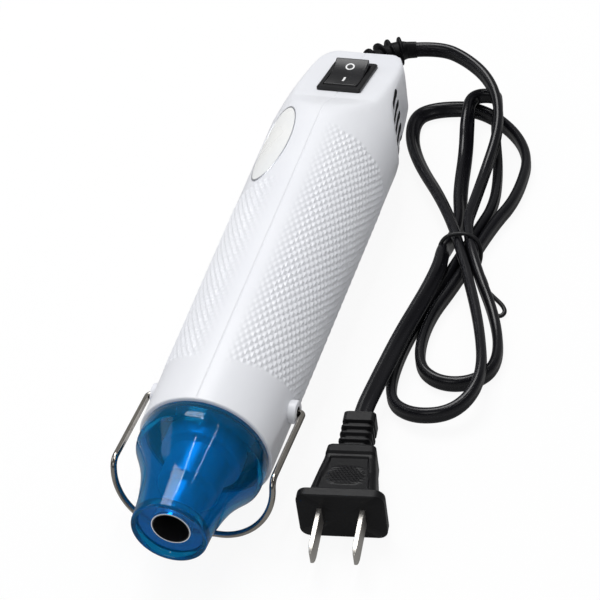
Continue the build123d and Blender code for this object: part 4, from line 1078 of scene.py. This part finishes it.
# Kept CAD pieces: the wire stand, the screws, the switch's frame and everything inside the shell
# keep their form and take the finish that their real material has.
kept_metals = (
    ("stand_wire", (0.6, 0.57, 0.52), (0.4, 0.37, 0.33), 0.1, 0.18, (1, 0.2, 1)),
    ("screw_steel", (0.55, 0.55, 0.56), (0.4, 0.4, 0.41), 0.25, 0.4, (1, 1, 1)),
    ("can_steel", (0.6, 0.6, 0.61), (0.46, 0.46, 0.48), 0.22, 0.36, (0.1, 1, 1)),
    ("shaft_steel", (0.62, 0.62, 0.63), (0.5, 0.5, 0.51), 0.15, 0.25, (1, 0.2, 0.2)),
    ("brass_tab", (0.70, 0.52, 0.24), (0.5, 0.36, 0.16), 0.22, 0.38, (0.3, 1, 1)),
)
kept_others = (
    ("mica", (0.62, 0.55, 0.40), (0.42, 0.34, 0.23), 0.25, 0.5, 500.0, 0.35, 260.0),
    ("coil_wire", (0.30, 0.27, 0.24), (0.15, 0.13, 0.12), 0.35, 0.55, 2600.0, 0.3, 320.0, 1.0),
    ("fuse_body", (0.72, 0.67, 0.56), (0.6, 0.55, 0.45), 0.3, 0.42, 1200.0, 0.15, 120.0),
    ("ceramic", (0.82, 0.79, 0.72), (0.7, 0.66, 0.58), 0.6, 0.8, 1500.0, 0.45, 140.0),
    ("motor_cap", (0.78, 0.78, 0.76), (0.7, 0.7, 0.67), 0.4, 0.55, 1400.0, 0.2, 90.0),
    ("magnet", (0.10, 0.10, 0.11), (0.06, 0.06, 0.065), 0.45, 0.65, 2200.0, 0.5, 200.0, 0.6),
    ("armature", (0.26, 0.22, 0.19), (0.14, 0.12, 0.11), 0.35, 0.55, 1800.0, 0.4, 400.0, 0.8),
    ("fan_plastic", (0.10, 0.10, 0.11), (0.07, 0.07, 0.08), 0.4, 0.55, 1300.0, 0.25, 60.0),
    ("board", (0.06, 0.20, 0.09), (0.03, 0.12, 0.05), 0.25, 0.4, 900.0, 0.2, 300.0),
    ("diode", (0.03, 0.03, 0.03), (0.05, 0.05, 0.05), 0.35, 0.5, 1500.0, 0.2, 200.0),
)
finishes = {
    "cord_jacket": cord_jacket,
    "switch_black": moulded("switch_black", (0.008, 0.008, 0.009), (0.012, 0.012, 0.013), 0.3, 0.42, 1600.0,
                            0.2, Specular_IOR_Level=0.3)[0],
}
finishes.update((row[0], brushed(*row)) for row in kept_metals)
finishes.update((row[0], moulded(*row)[0]) for row in kept_others)
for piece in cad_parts.values():
    for holder in piece.material_slots:
        kind = holder.material.name.split(".")[0]
        if kind in finishes:
            holder.material = finishes[kind]
